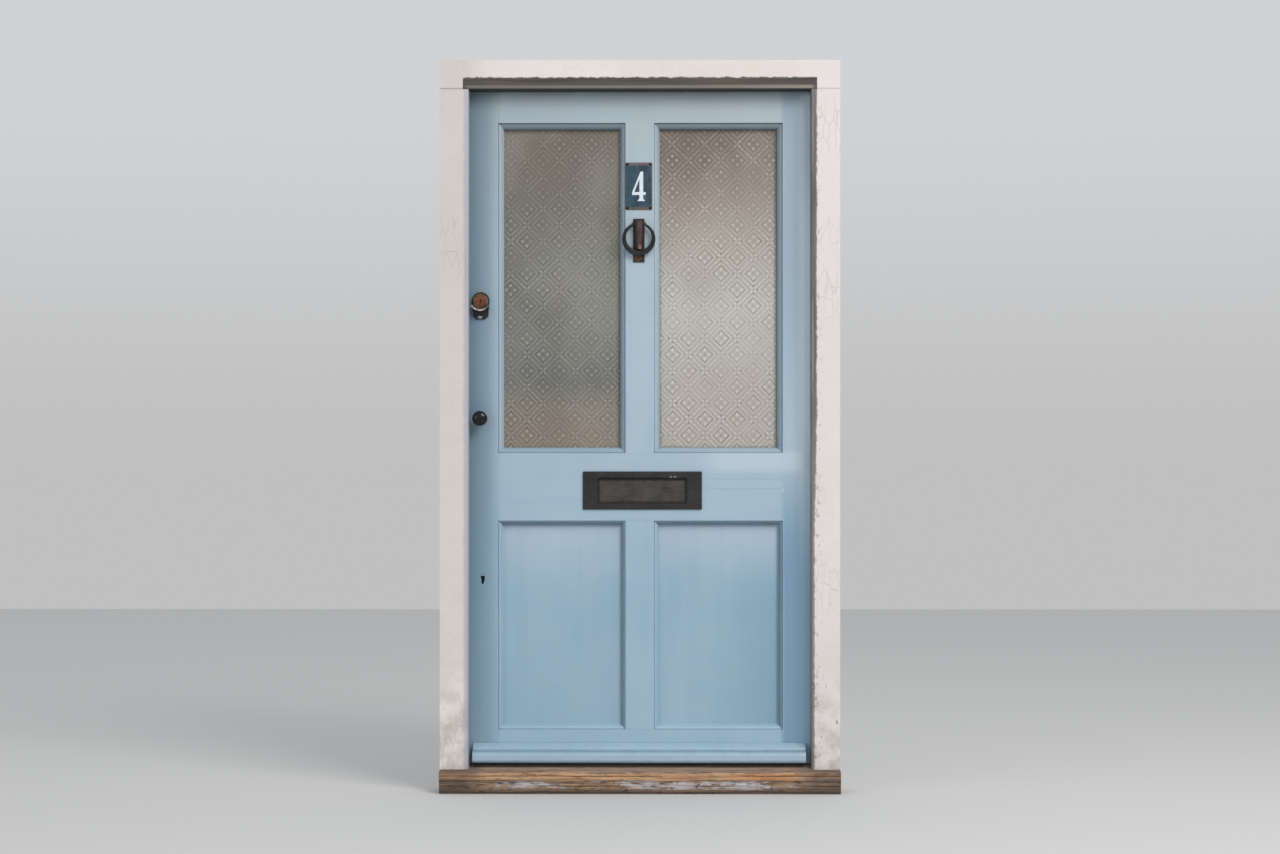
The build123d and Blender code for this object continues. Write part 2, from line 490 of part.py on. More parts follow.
bolt_y0, bolt_y1 = leaf_y1 + 7.0, leaf_y1 + 19.0
cz0, cz1 = latch_z - 45, latch_z + 45
turn_x = fit_x
with BuildPart() as latch_case:
    block(case_x0, case_x1, leaf_y1, case_y1, cz0, cz1)
    fillet(latch_case.edges().filter_by(Axis.Y), 4)
    front_face = latch_case.faces().sort_by(Axis.Y)[-1]
    chamfer(front_face.outer_wire().edges(), 1.5)
    # chamber for the bolt, open at the edge, and behind it room for the cylinder's tail
    block(case_x0 - 1, -404, bolt_y0 - 0.3, bolt_y1 + 0.3, latch_z - 13.3, latch_z + 13.3, Mode.SUBTRACT)
    block(fit_x - 13, fit_x + 13, leaf_y1 + 2.5, bolt_y0, latch_z - 17, latch_z + 17, Mode.SUBTRACT)
    rod_y(fit_x, latch_z, leaf_y1 - 1, leaf_y1 + 3, 5.0, Mode.SUBTRACT)
    for dz in (-11.0, 11.0):
        rod_y(fit_x, latch_z + dz, leaf_y1 - 1, leaf_y1 + 3, 2.0 + run, Mode.SUBTRACT)
    rod_y(turn_x, latch_z, bolt_y1, case_y1 + 1, 5.0 + run, Mode.SUBTRACT)
    # the snib's slot in the face
    block(-440, -424, case_y1 - 6, case_y1 + 1, latch_z - 29, latch_z - 24, Mode.SUBTRACT)
    for at, out in case_screw_at:
        screw(at, out, 40, slack=run, mode=Mode.SUBTRACT)
save(latch_case, "latch_case")

with BuildPart() as latch_screws:
    for at, out in case_screw_at:
        screw(at, out, 40)
        slot_cut(at, out)
save(latch_screws, "latch_screws")

with BuildPart() as latch_bolt:
    block(x0, -421, bolt_y0, bolt_y1, latch_z - 13, latch_z + 13)
    # the slanted nose faces the closing side
    with BuildSketch(Plane.XY.offset(latch_z - 20)) as nose_cut:
        with BuildLine():
            Polyline((x0 - 1, bolt_y0 - 1), (x0 - 1, bolt_y0 + 9), (x0 + 11, bolt_y0 - 1), (x0 - 1, bolt_y0 - 1))
        make_face()
    extrude(nose_cut.sketch, amount=40, mode=Mode.SUBTRACT)
save(latch_bolt, "latch_bolt")

with BuildPart() as latch_turn:
    rod_y(turn_x, latch_z, bolt_y1 + 0.5, case_y1 + 4, 5.0)
    rod_y(turn_x, latch_z, case_y1 + 0.4, case_y1 + 5, 11)
    with BuildSketch(Plane.XZ.offset(-(case_y1 + 22))) as thumb:
        with Locations((turn_x, latch_z)):
            SlotOverall(42, 12, rotation=90)
    extrude(thumb.sketch, amount=18)
    fillet(latch_turn.edges().group_by(Axis.Y)[-1], 2.5)
save(latch_turn, "latch_turn")

with BuildPart() as latch_snib:
    block(-431.8, -424.2, case_y1 - 5.5, case_y1 + 0.2, latch_z - 28.8, latch_z - 24.2)
    block(-432.5, -423.5, case_y1 + 0.2, case_y1 + 4, latch_z - 31, latch_z - 22)
    chamfer(latch_snib.faces().sort_by(Axis.Y)[-1].edges(), 1.0)
save(latch_snib, "latch_snib")

with BuildPart() as latch_keep:
    block(keep_x0, keep_x1, frame_y1, frame_y1 + 25, latch_z - 24, latch_z + 24)
    fillet(latch_keep.edges().filter_by(Axis.Z).group_by(Axis.Y)[-1].sort_by(Axis.X)[0], 5)
    block(keep_x0, keep_x1, frame_y1, frame_y1 + 4, latch_z - 42, latch_z + 42)
    block(keep_x0 + 8, keep_x1 + 1, frame_y1 + 4, bolt_y1 + 1.5, latch_z - 15, latch_z + 15, Mode.SUBTRACT)
    for at, out in keep_screw_at:
        screw(at, out, 26, slack=run, mode=Mode.SUBTRACT)
save(latch_keep, "latch_keep")

# ---------------------------------------------------------------- pull knob
with BuildPart() as pull_knob:
    with BuildSketch(Plane.XY.offset(knob_z)) as knob_section:
        with BuildLine():
            Polyline((fit_x, leaf_y0), (fit_x + 17.5, leaf_y0), (fit_x + 17.5, leaf_y0 - 2), (fit_x + 14, leaf_y0 - 5), (fit_x + 9, leaf_y0 - 7))
            Spline((fit_x + 9, leaf_y0 - 7), (fit_x + 8.2, leaf_y0 - 18), (fit_x + 15, leaf_y0 - 27), (fit_x + 19.5, leaf_y0 - 36),
                   (fit_x + 17, leaf_y0 - 43.5), (fit_x + 9, leaf_y0 - 47), tangents=((-0.3, -1), (-1, -0.15)))
            Polyline((fit_x + 9, leaf_y0 - 47), (fit_x, leaf_y0 - 47.6), (fit_x, leaf_y0))
        make_face()
    revolve(axis=Axis((fit_x, 0, knob_z), (0, 1, 0)))
    rod_y(fit_x, knob_z, leaf_y0 - 24, leaf_y0 + 1, 3.9 + run, Mode.SUBTRACT)
save(pull_knob, "pull_knob")

with BuildPart() as knob_bolt:
    rod_y(fit_x, knob_z, leaf_y0 - 23, leaf_y1 + 8, 3.9)
    rod_y(fit_x, knob_z, leaf_y1, leaf_y1 + 1.5, 10)
    with BuildSketch(Plane.XZ.offset(-(leaf_y1 + 7))) as nut:
        with Locations((fit_x, knob_z)):
            RegularPolygon(7.5, 6)
    extrude(nut.sketch, amount=5.5)
save(knob_bolt, "knob_bolt")

# ---------------------------------------------------------------- mortice dead lock
with BuildPart() as dead_case:
    block(x0 + 3, -392, 18, 32, dead_z - 38.5, dead_z + 38.5)
    # the bolt's chamber, open through the forend
    block(x0, -397, 20, 30, dead_z + 3, dead_z + 33, Mode.SUBTRACT)
    # key chamber under it, open through both cheeks
    block(-436, -397, 20, 30, dead_z - 30, dead_z + 3, Mode.SUBTRACT)
    rod_y(dead_x, dead_z, 17, 33, keyhole_r - 0.6, Mode.SUBTRACT)
    block(dead_x - 2.6, dead_x + 2.6, 17, 33, dead_z - 17, dead_z, Mode.SUBTRACT)
save(dead_case, "deadlock_case")

with BuildPart() as forend:
    block(x0, x0 + 3, 14.2, 35.8, dead_z - 64.8, dead_z + 64.8)
    block(x0 - 1, x0 + 4, 20, 30, dead_z + 5.7, dead_z + 30.3, Mode.SUBTRACT)
    for at, out in forend_screw_at:
        screw(at, out, 26, slack=run, mode=Mode.SUBTRACT)
save(forend, "deadlock_forend")

with BuildPart() as deadbolt:
    block(x0 + 0.2, x0 + 38, 20.3, 29.7, dead_z + 6, dead_z + 30)
    block(x0 + 22, x0 + 30, 20.3, 29.7, dead_z + 3.5, dead_z + 7)
save(deadbolt, "deadbolt")

with BuildPart() as forend_screws:
    for at, out in forend_screw_at:
        screw(at, out, 26)
        slot_cut(at, out)
save(forend_screws, "forend_screws")

with BuildPart() as dead_keep:
    block(-reb_x - 2.5, -reb_x, 14.2, 35.8, dead_z - 57.8, dead_z + 57.8)
    block(-reb_x - 4, -reb_x + 1, 18.2, 31.8, dead_z + 3, dead_z + 33, Mode.SUBTRACT)
    for at, out in dead_keep_screw_at:
        screw(at, out, 26, slack=run, mode=Mode.SUBTRACT)
save(dead_keep, "deadlock_keep")

with BuildPart() as keep_screws:
    for at, out in keep_screw_at + dead_keep_screw_at:
        screw(at, out, 26)
        slot_cut(at, out)
save(keep_screws, "keep_screws")

# ---------------------------------------------------------------- hinges
fifth = hinge_l / 5
with BuildPart() as hinge_frame_leaves:
    for z in hinge_zs:
        block(reb_x, reb_x + 2.5, 12.2, frame_y1, z - hinge_l / 2 + 0.1, z + hinge_l / 2 - 0.1)
        for i in (0, 2, 4):
            za = z - hinge_l / 2 + i * fifth + 0.15
            zb = za + fifth - 0.3
            block(reb_x, reb_x + 2.5, frame_y1 - 1, pin_y, za, zb)
            with Locations((pin_x, pin_y, za)):
                Cylinder(knuckle_r, zb - za, align=(Align.CENTER, Align.CENTER, Align.MIN))
        with Locations((pin_x, pin_y, z)):
            Cylinder(pin_r + run, hinge_l + 10, mode=Mode.SUBTRACT)
    for at, out in frame_screw_at:
        screw(at, out, 30, slack=run, mode=Mode.SUBTRACT)
save(hinge_frame_leaves, "hinge_frame_leaves")

with BuildPart() as hinge_door_leaves:
    for z in hinge_zs:
        block(x1 - 2.5, x1, 12.2, leaf_y1, z - hinge_l / 2 + 0.1, z + hinge_l / 2 - 0.1)
        for i in (1, 3):
            za = z - hinge_l / 2 + i * fifth + 0.15
            zb = za + fifth - 0.3
            block(x1 - 2.5, x1, leaf_y1 - 1, pin_y, za, zb)
            with Locations((pin_x, pin_y, za)):
                Cylinder(knuckle_r, zb - za, align=(Align.CENTER, Align.CENTER, Align.MIN))
        with Locations((pin_x, pin_y, z)):
            Cylinder(pin_r + run, hinge_l + 10, mode=Mode.SUBTRACT)
    for at, out in door_screw_at:
        screw(at, out, 30, slack=run, mode=Mode.SUBTRACT)
save(hinge_door_leaves, "hinge_door_leaves")

with BuildPart() as hinge_pins:
    for z in hinge_zs:
        with Locations((pin_x, pin_y, z - hinge_l / 2)):
            Cylinder(pin_r, hinge_l + 1, align=(Align.CENTER, Align.CENTER, Align.MIN))
        with Locations((pin_x, pin_y, z + hinge_l / 2 + 0.2)):
            Cone(5.6, 2.0, 5, align=(Align.CENTER, Align.CENTER, Align.MIN))
        with Locations((pin_x, pin_y, z - hinge_l / 2 - 0.2)):
            Cone(2.0, 5.6, 5, align=(Align.CENTER, Align.CENTER, Align.MAX))
        with Locations((pin_x, pin_y, z - hinge_l / 2 - 0.2)):
            Cylinder(pin_r, 1, align=(Align.CENTER, Align.CENTER, Align.MIN))
save(hinge_pins, "hinge_pins")

with BuildPart() as hinge_frame_screws:
    for at, out in frame_screw_at:
        screw(at, out, 30)
        slot_cut(at, out)
save(hinge_frame_screws, "hinge_frame_screws")

with BuildPart() as hinge_door_screws:
    for at, out in door_screw_at:
        screw(at, out, 30)
        slot_cut(at, out)
save(hinge_door_screws, "hinge_door_screws")
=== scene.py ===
import math

import bpy
from mathutils import Matrix, Vector, noise


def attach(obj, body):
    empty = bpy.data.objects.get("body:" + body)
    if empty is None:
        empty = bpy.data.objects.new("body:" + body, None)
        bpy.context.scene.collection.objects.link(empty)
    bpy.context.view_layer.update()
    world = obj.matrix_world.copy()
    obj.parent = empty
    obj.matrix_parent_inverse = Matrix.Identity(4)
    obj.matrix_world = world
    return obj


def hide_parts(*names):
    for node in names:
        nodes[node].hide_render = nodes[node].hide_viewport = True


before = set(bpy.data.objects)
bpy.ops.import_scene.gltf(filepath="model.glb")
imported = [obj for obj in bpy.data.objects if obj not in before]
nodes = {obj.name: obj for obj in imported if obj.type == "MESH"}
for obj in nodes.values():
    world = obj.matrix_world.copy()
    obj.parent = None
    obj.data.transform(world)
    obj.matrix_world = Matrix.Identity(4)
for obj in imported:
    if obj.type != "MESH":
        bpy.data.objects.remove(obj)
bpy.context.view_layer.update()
scene = bpy.context.scene
MM = 0.001

# ---------------------------------------------------------------- leaf layout, metres, row frame
LEAF_Z = 0.072
FACE_Y = 0.003
LOW_Z = (LEAF_Z + 0.088, LEAF_Z + 0.634)
UP_Z = (LEAF_Z + 0.8115, LEAF_Z + 1.675)
OPEN_X = {"left": (-0.371, -0.038), "right": (0.037, 0.373)}
LEAF_TOP = LEAF_Z + 1.768


# ================================================================ shader helper
def lin(r, g, b):
    """8-bit display colour to a linear RGBA."""
    def f(c):
        c = c / 255.0
        return c / 12.92 if c <= 0.04045 else ((c + 0.055) / 1.055) ** 2.4
    return (f(r), f(g), f(b), 1.0)


class Shader:
    def __init__(self, name):
        self.mat = bpy.data.materials.new(name)
        self.mat.use_nodes = True
        self.tree = self.mat.node_tree
        self.tree.nodes.clear()
        self.out = self.tree.nodes.new("ShaderNodeOutputMaterial")
        self.bsdf = self.tree.nodes.new("ShaderNodeBsdfPrincipled")
        self.tree.links.new(self.bsdf.outputs["BSDF"], self.out.inputs["Surface"])
        self._pos = None

    def link(self, value, socket):
        if isinstance(value, bpy.types.NodeSocket):
            self.tree.links.new(value, socket)
        else:
            socket.default_value = value

    def set(self, **kw):
        for k, v in kw.items():
            self.link(v, self.bsdf.inputs[k.replace("_", " ")])
        return self

    def new(self, kind, **props):
        n = self.tree.nodes.new(kind)
        for k, v in props.items():
            setattr(n, k, v)
        return n

    def pos(self):
        if self._pos is None:
            self._pos = self.new("ShaderNodeTexCoord").outputs["Object"]
        return self._pos

    def xyz(self, vec=None):
        n = self.new("ShaderNodeSeparateXYZ")
        self.link(vec if vec is not None else self.pos(), n.inputs[0])
        return n.outputs[0], n.outputs[1], n.outputs[2]

    def vec(self, x, y, z):
        n = self.new("ShaderNodeCombineXYZ")
        for i, v in enumerate((x, y, z)):
            self.link(v, n.inputs[i])
        return n.outputs[0]

    def m(self, op, a, b=0.0, c=None, clamp=False):
        n = self.new("ShaderNodeMath", operation=op, use_clamp=clamp)
        self.link(a, n.inputs[0])
        self.link(b, n.inputs[1])
        if c is not None:
            self.link(c, n.inputs[2])
        return n.outputs[0]

    def scaled(self, sx, sy, sz, off=(0, 0, 0), vec=None):
        n = self.new("ShaderNodeMapping")
        self.link(vec if vec is not None else self.pos(), n.inputs["Vector"])
        n.inputs["Scale"].default_value = (sx, sy, sz)
        n.inputs["Location"].default_value = off
        return n.outputs[0]

    def noise(self, vec, scale=1.0, detail=2.0, rough=0.5, distort=0.0, kind="FBM"):
        n = self.new("ShaderNodeTexNoise", noise_dimensions="3D", noise_type=kind)
        self.link(vec, n.inputs["Vector"])
        n.inputs["Scale"].default_value = scale
        n.inputs["Detail"].default_value = detail
        n.inputs["Roughness"].default_value = rough
        n.inputs["Distortion"].default_value = distort
        return n.outputs["Fac"]

    def voronoi(self, vec, scale=1.0, feature="F1", rand=1.0, out="Distance"):
        n = self.new("ShaderNodeTexVoronoi", feature=feature)
        self.link(vec, n.inputs["Vector"])
        n.inputs["Scale"].default_value = scale
        n.inputs["Randomness"].default_value = rand
        return n.outputs[out]

    def span(self, v, a, b, c=0.0, d=1.0, smooth=False):
        n = self.new("ShaderNodeMapRange", clamp=True, interpolation_type="SMOOTHSTEP" if smooth else "LINEAR")
        self.link(v, n.inputs["Value"])
        for k, x in zip(("From Min", "From Max", "To Min", "To Max"), (a, b, c, d)):
            self.link(x, n.inputs[k])
        return n.outputs["Result"]

    def mix(self, fac, a, b, blend="MIX"):
        n = self.new("ShaderNodeMix", data_type="RGBA", blend_type=blend, clamp_factor=True)
        self.link(fac, n.inputs[0])
        self.link(a, n.inputs[6])
        self.link(b, n.inputs[7])
        return n.outputs[2]

    def ramp(self, fac, stops, interp="LINEAR"):
        n = self.new("ShaderNodeValToRGB")
        n.color_ramp.interpolation = interp
        el = n.color_ramp.elements
        while len(el) < len(stops):
            el.new(0.5)
        for e, (p, c) in zip(el, stops):
            e.position = p
            e.color = c
        self.link(fac, n.inputs[0])
        return n.outputs["Color"]

    def bump(self, height, dist, strength=1.0, normal=None):
        n = self.new("ShaderNodeBump")
        n.inputs["Strength"].default_value = strength
        n.inputs["Distance"].default_value = dist
        self.link(height, n.inputs["Height"])
        if normal is not None:
            self.link(normal, n.inputs["Normal"])
        return n.outputs["Normal"]


def near_line(s, v, at, half):
    """1 on a line where v equals at, falling to 0 at half a width away."""
    return s.span(s.m("ABSOLUTE", s.m("SUBTRACT", v, at)), 0.0, half, 1.0, 0.0)


# ================================================================ materials
def blue_paint(name, along, moulded=False):
    """Hand-brushed blue gloss paint gone chalky: brush marks run along the member."""
    s = Shader(name)
    x, y, z = s.xyz()
    if along == "z":
        fine, broad = (420, 420, 6), (24, 24, 1.4)
    else:
        fine, broad = (6, 420, 420), (1.4, 24, 24)
    brush = s.noise(s.scaled(*fine), 1.0, 3.0, 0.62)
    drift = s.noise(s.scaled(*broad), 1.0, 2.0, 0.5)
    cloud = s.noise(s.pos(), 3.1, 3.0, 0.55)
    mottle = s.noise(s.pos(), 17.0, 4.0, 0.6)
    # the base colour greys towards the head of the door and is a richer blue lower down
    height = s.span(z, LEAF_Z, LEAF_TOP)
    base = s.ramp(height, [(0.00, lin(158, 187, 207)), (0.10, lin(155, 184, 204)), (0.30, lin(151, 181, 201)), (0.46, lin(166, 188, 202)),
                           (0.62, lin(166, 188, 201)), (0.84, lin(172, 187, 196)), (1.00, lin(164, 175, 181))])
    base = s.mix(s.span(cloud, 0.42, 0.72, 0.0, 0.34), base, lin(174, 196, 210))
    base = s.mix(s.span(cloud, 0.48, 0.22, 0.0, 0.40), base, lin(140, 170, 192))
    base = s.mix(s.span(drift, 0.45, 0.78, 0.0, 0.22), base, lin(122, 154, 180))
    base = s.mix(s.span(mottle, 0.45, 0.75, 0.0, 0.16), base, lin(182, 192, 198))
    base = s.mix(s.span(brush, 0.38, 0.72, 0.0, 0.10), base, lin(184, 204, 216))
    # hinge stile: a deeper blue below the lock rail, painted shade of the hinge-side jamb
    leaf_face = s.span(y, -0.0010, 0.0010)
    deep = s.m("MULTIPLY", s.m("MULTIPLY", s.span(x, 0.366, 0.380), s.span(z, 0.92, 0.60, 0.0, 1.0, smooth=True)), leaf_face)
    base = s.mix(s.m("MULTIPLY", deep, 0.70), base, lin(104, 143, 172))
    # the lock stile is darker towards the frame: painted shade of the lock-side jamb
    left = s.m("ADD", s.span(x, -0.362, -0.396, 0.0, 0.50), s.span(x, -0.394, -0.446, 0.0, 0.32))
    base = s.mix(s.m("MULTIPLY", s.m("MULTIPLY", left, leaf_face), s.span(z, 0.2, 1.0, 0.60, 0.92)), base, lin(68, 105, 123))
    # the hinge stile is darker above the lock rail; towards the hinge edge it is paler, chalky paint with painted
    # light offsetting the jamb's shadow
    stile = s.m("MULTIPLY", s.m("MULTIPLY", s.span(x, 0.366, 0.380), s.span(z, 0.88, 1.52, 0.0, 0.42, smooth=True)), leaf_face)
    base = s.mix(stile, base, lin(114, 140, 162))
    chalk_and_light = s.mix(s.span(z, 0.55, 1.0), lin(152, 186, 212), lin(220, 236, 246))
    chalky_and_lit = s.m("MULTIPLY", s.span(x, 0.404, 0.446, 0.0, 0.92, smooth=True), s.span(z, 1.48, 1.66, 1.0, 0.62))
    base = s.mix(s.m("MULTIPLY", chalky_and_lit, leaf_face), base, chalk_and_light)
    # the panels are a richer blue towards their foot, most on the hinge side
    inset = s.m("MULTIPLY", s.span(y, 0.018, 0.022), s.span(z, 0.76, 0.74))
    rich = s.m("MULTIPLY", inset, s.span(z, 0.66, 0.44, 0.0, 1.0, smooth=True))
    rich = s.m("MULTIPLY", rich, s.m("ADD", s.span(x, -0.1, 0.1, 0.24, 0.12), s.span(x, 0.12, 0.34, 0.0, 0.62)))
    base = s.mix(rich, base, lin(126, 162, 182))
    # painted reflection of the sky: the upper part of the panels is paler
    base = s.mix(s.m("MULTIPLY", inset, s.span(z, 0.52, 0.68, 0.0, 0.30, smooth=True)), base, lin(190, 200, 208))
    # a chalky patch high on the lock rail, hinge side
    patch = s.m("MULTIPLY", s.span(x, 0.12, 0.24, 0.0, 1.0, smooth=True), s.m("MULTIPLY", s.span(z, 0.822, 0.850, 0.0, 1.0, smooth=True), s.span(z, 0.892, 0.880)))
    base = s.mix(s.m("MULTIPLY", patch, 0.55), base, lin(196, 210, 220))
    # painted shade along the top of the leaf, under the head
    top = s.span(z, 1.812, 1.830, 0.0, 1.0, smooth=True)
    base = s.mix(s.m("MULTIPLY", top, s.span(mottle, 0.3, 0.7, 0.35, 0.75)), base, lin(84, 98, 104))
    # splash and dirt low down
    low = s.span(z, 0.16, 0.075, 0.0, 1.0, smooth=True)
    dirt = s.m("MULTIPLY", low, s.span(s.noise(s.scaled(40, 40, 90), 1.0, 4.0, 0.6), 0.50, 0.78))
    base = s.mix(s.m("MULTIPLY", dirt, 0.35), base, lin(108, 116, 118))
    # two level ripples in the coat beside the letterplate, over an old repair
    gate = s.m("MULTIPLY", s.span(x, 0.165, 0.200), s.span(x, 0.372, 0.362))
    wob = s.m("MULTIPLY", s.m("SUBTRACT", s.noise(s.scaled(14, 2, 2), 1.0, 2.0), 0.5), 0.006)
    zw = s.m("ADD", z, wob)
    ripple = s.m("MULTIPLY", gate, s.m("MAXIMUM", near_line(s, zw, 0.8150, 0.0022), s.m("MULTIPLY", near_line(s, zw, 0.7890, 0.0030), 0.8)))
    base = s.mix(s.m("MULTIPLY", ripple, 0.30), base, lin(112, 138, 152))
    # pin chips down to the pale undercoat, and dark specks
    chip_v = s.voronoi(s.pos(), 34.0)
    chip_gate = s.span(s.noise(s.pos(), 9.0, 2.0), 0.60, 0.66)
    seam = s.m("MULTIPLY", near_line(s, x, 0.3745, 0.0055), s.m("MULTIPLY", s.span(z, 0.66, 0.72), s.span(z, 0.90, 0.885)))
    chip = s.m("MULTIPLY", s.span(chip_v, 0.055, 0.035), s.m("MAXIMUM", chip_gate, seam))
    flake_n = s.noise(s.pos(), 150.0, 4.0, 0.65)
    chip = s.m("MAXIMUM", chip, s.m("MULTIPLY", seam, s.span(flake_n, 0.60, 0.63)))
    base = s.mix(s.m("MULTIPLY", chip, 0.8), base, lin(202, 206, 208))
    speck = s.m("MULTIPLY", s.span(s.voronoi(s.scaled(1, 1, 1, (0.37, 0.11, 0.73)), 58.0), 0.05, 0.03), s.span(s.noise(s.pos(), 6.0, 2.0), 0.58, 0.62))
    base = s.mix(s.m("MULTIPLY", speck, 0.7), base, lin(84, 96, 104))
    # painted shade: a near-black ellipse round the keyhole darkens its mouth
    kx = s.m("DIVIDE", s.m("ADD", x, 0.4108), 0.0050)
    kz = s.m("DIVIDE", s.m("SUBTRACT", z, 0.5555), 0.0112)
    keyhole_shade = s.m("MULTIPLY", s.span(s.m("ADD", s.m("MULTIPLY", kx, kx), s.m("MULTIPLY", kz, kz)), 1.25, 0.75), s.span(y, 0.026, 0.022))
    base = s.mix(s.m("MULTIPLY", keyhole_shade, 0.88), base, lin(20, 32, 42))
    if moulded:
        # painted shade and painted light, carried by the mouldings' and weather bar's vertex attributes
        wear_and_painted_light = s.new("ShaderNodeAttribute", attribute_name="wear_and_painted_light").outputs["Fac"]
        base = s.mix(s.m("MULTIPLY", wear_and_painted_light, s.span(mottle, 0.3, 0.7, 0.50, 0.72)), base, lin(190, 210, 232))
        grime_and_painted_shade = s.new("ShaderNodeAttribute", attribute_name="grime_and_painted_shade").outputs["Fac"]
        grime_and_painted_shade = s.m("MULTIPLY", grime_and_painted_shade, s.span(mottle, 0.25, 0.7, 0.75, 1.0))
        base = s.mix(s.m("MULTIPLY", grime_and_painted_shade, 0.80), base, lin(58, 86, 104))
    rough = s.m("ADD", s.span(cloud, 0.3, 0.7, 0.34, 0.46), s.m("MULTIPLY", s.m("ADD", dirt, s.span(height, 0.7, 1.0)), 0.12))
    relief = s.m("ADD", s.m("MULTIPLY", brush, 0.55), s.m("MULTIPLY", drift, 0.75))
    relief = s.m("ADD", relief, s.m("MULTIPLY", s.noise(s.pos(), 160.0, 2.0, 0.5), 0.18))
    relief = s.m("SUBTRACT", relief, s.m("ADD", s.m("MULTIPLY", chip, 0.8), s.m("MULTIPLY", ripple, 0.7)))
    s.set(Base_Color=base, Roughness=rough, Normal=s.bump(relief, 0.0007, 0.55))
    s.bsdf.inputs["Specular IOR Level"].default_value = 0.45
    s.bsdf.inputs["Coat Weight"].default_value = 0.12
    s.bsdf.inputs["Coat Roughness"].default_value = 0.22
    return s.mat


def frame_paint(name, along):
    """Old off-white limewash on softwood, worn to grey-brown timber beside the leaf."""
    s = Shader(name)
    x, y, z = s.xyz()
    ax = s.m("ABSOLUTE", x)
    cloud = s.noise(s.pos(), 4.0, 4.0, 0.6)
    mottle = s.noise(s.pos(), 19.0, 5.0, 0.65)
    if along == "z":
        fine, grainv = (260, 260, 8), (150, 150, 3.0)
    else:
        fine, grainv = (8, 260, 260), (3.0, 150, 150)
    fine = s.noise(s.scaled(*fine), 1.0, 3.0, 0.6)
    grain = s.noise(s.scaled(*grainv), 1.0, 5.0, 0.7)
    base = s.mix(s.span(cloud, 0.3, 0.7), lin(222, 213, 207), lin(236, 231, 227))
    base = s.mix(s.span(z, 0.7, 1.4, 0.0, 0.42, smooth=True), base, lin(208, 200, 197))
    base = s.mix(s.m("MULTIPLY", s.span(x, -0.40, -0.45, 0.0, 0.30), s.span(z, 0.2, 0.5)), base, lin(176, 167, 160))
    base = s.mix(s.span(mottle, 0.5, 0.75, 0.0, 0.40), base, lin(208, 198, 190))
    stain = s.noise(s.scaled(22, 22, 2.2), 1.0, 3.0, 0.6)
    base = s.mix(s.span(stain, 0.58, 0.8, 0.0, 0.30), base, lin(190, 177, 164))
    base = s.mix(s.span(x, 0.40, 0.45, 0.0, 0.50), base, lin(219, 213, 214))
    low = s.span(z, 0.40, 0.06, 0.0, 1.0, smooth=True)
    base = s.mix(s.m("MULTIPLY", low, s.span(mottle, 0.42, 0.62, 0.0, 0.60)), base, lin(170, 158, 146))
    # fine hair cracks in the wash
    crack_v = s.voronoi(s.scaled(52, 52, 15, (0.2, 0.5, 0.1)), 1.0, feature="DISTANCE_TO_EDGE")
    gate = s.span(s.noise(s.pos(), 5.0, 3.0), 0.53, 0.64)
    crack = s.m("MULTIPLY", s.span(crack_v, 0.020, 0.006), gate)
    base = s.mix(s.m("MULTIPLY", crack, 0.34), base, lin(150, 134, 122))
    flake = s.m("MULTIPLY", s.span(s.noise(s.scaled(70, 70, 30), 1.0, 5.0, 0.68), 0.655, 0.68), s.span(z, 0.45, 0.10, 0.04, 0.9))
    base = s.mix(flake, base, lin(132, 114, 98))
    # bare timber: grey-brown with dark grain, a paler lip at the arris
    if along == "x":
        wood = s.ramp(grain, [(0.26, lin(44, 40, 36)), (0.44, lin(66, 61, 55)), (0.58, lin(88, 81, 73)), (0.74, lin(68, 64, 54))])
    else:
        wood = s.ramp(grain, [(0.26, lin(72, 70, 70)), (0.44, lin(108, 105, 104)), (0.58, lin(134, 130, 128)), (0.74, lin(112, 108, 104))])
    ragged = s.m("MULTIPLY", s.m("SUBTRACT", s.noise(s.pos(), 42.0, 5.0, 0.65), 0.5), 0.016)
    reveal = s.m("MULTIPLY", s.span(y, -0.0472, -0.0464), s.m("MULTIPLY", s.span(y, 0.0476, 0.0470), s.span(ax, 0.4620, 0.4610)))
    if along == "x":
        edge = s.m("ADD", z, ragged)
        # the bare strip stops in line with the jambs' own strips, where the wash covers the head's ends
        end = s.m("ADD", ax, s.m("MULTIPLY", ragged, 0.4))
        bare = s.m("MULTIPLY", s.m("MULTIPLY", s.span(edge, 1.8590, 1.8562), s.span(end, 0.4610, 0.4590)), s.span(y, 0.030, 0.020))
        lip = s.m("MULTIPLY", s.span(z, 1.8390, 1.8370), s.span(z, 1.8285, 1.8300))
        lip_tone = s.mix(s.span(x, 0.16, 0.42), lin(120, 118, 108), lin(148, 142, 132))
        # painted shade: below the lip the head's soffit is near black
        under = s.span(z, 1.8288, 1.8282)
        wood = s.mix(s.m("MULTIPLY", lip, 0.75), wood, lip_tone)
        wood = s.mix(s.m("MULTIPLY", under, 0.85), wood, lin(34, 36, 38))
        # the strip turns the corner into the jamb along a mitre, painted darker there as shade
        turn = s.span(s.m("SUBTRACT", ax, s.m("MULTIPLY", s.m("SUBTRACT", z, 1.828), 0.30)), 0.4460, 0.4475)
        wood = s.mix(s.m("MULTIPLY", turn, 0.70), wood, lin(84, 76, 72))
        wood = s.mix(s.m("MULTIPLY", s.span(end, 0.4550, 0.4575), 0.75), wood, lin(46, 42, 40))
    else:
        edge = s.m("ADD", ax, s.m("MULTIPLY", ragged, 0.70))
        # crumbs and lost specks of wash along the hinge-side strip
        crumb = s.m("MULTIPLY", s.span(s.noise(s.scaled(110, 110, 60), 1.0, 5.0, 0.7), 0.585, 0.625), s.m("MULTIPLY", s.span(ax, 0.480, 0.462), s.span(x, 0.0, 0.1)))
        crumb = s.m("MULTIPLY", crumb, s.span(y, -0.030, -0.040))
        base = s.mix(s.m("MULTIPLY", crumb, 0.62), base, lin(140, 128, 118))
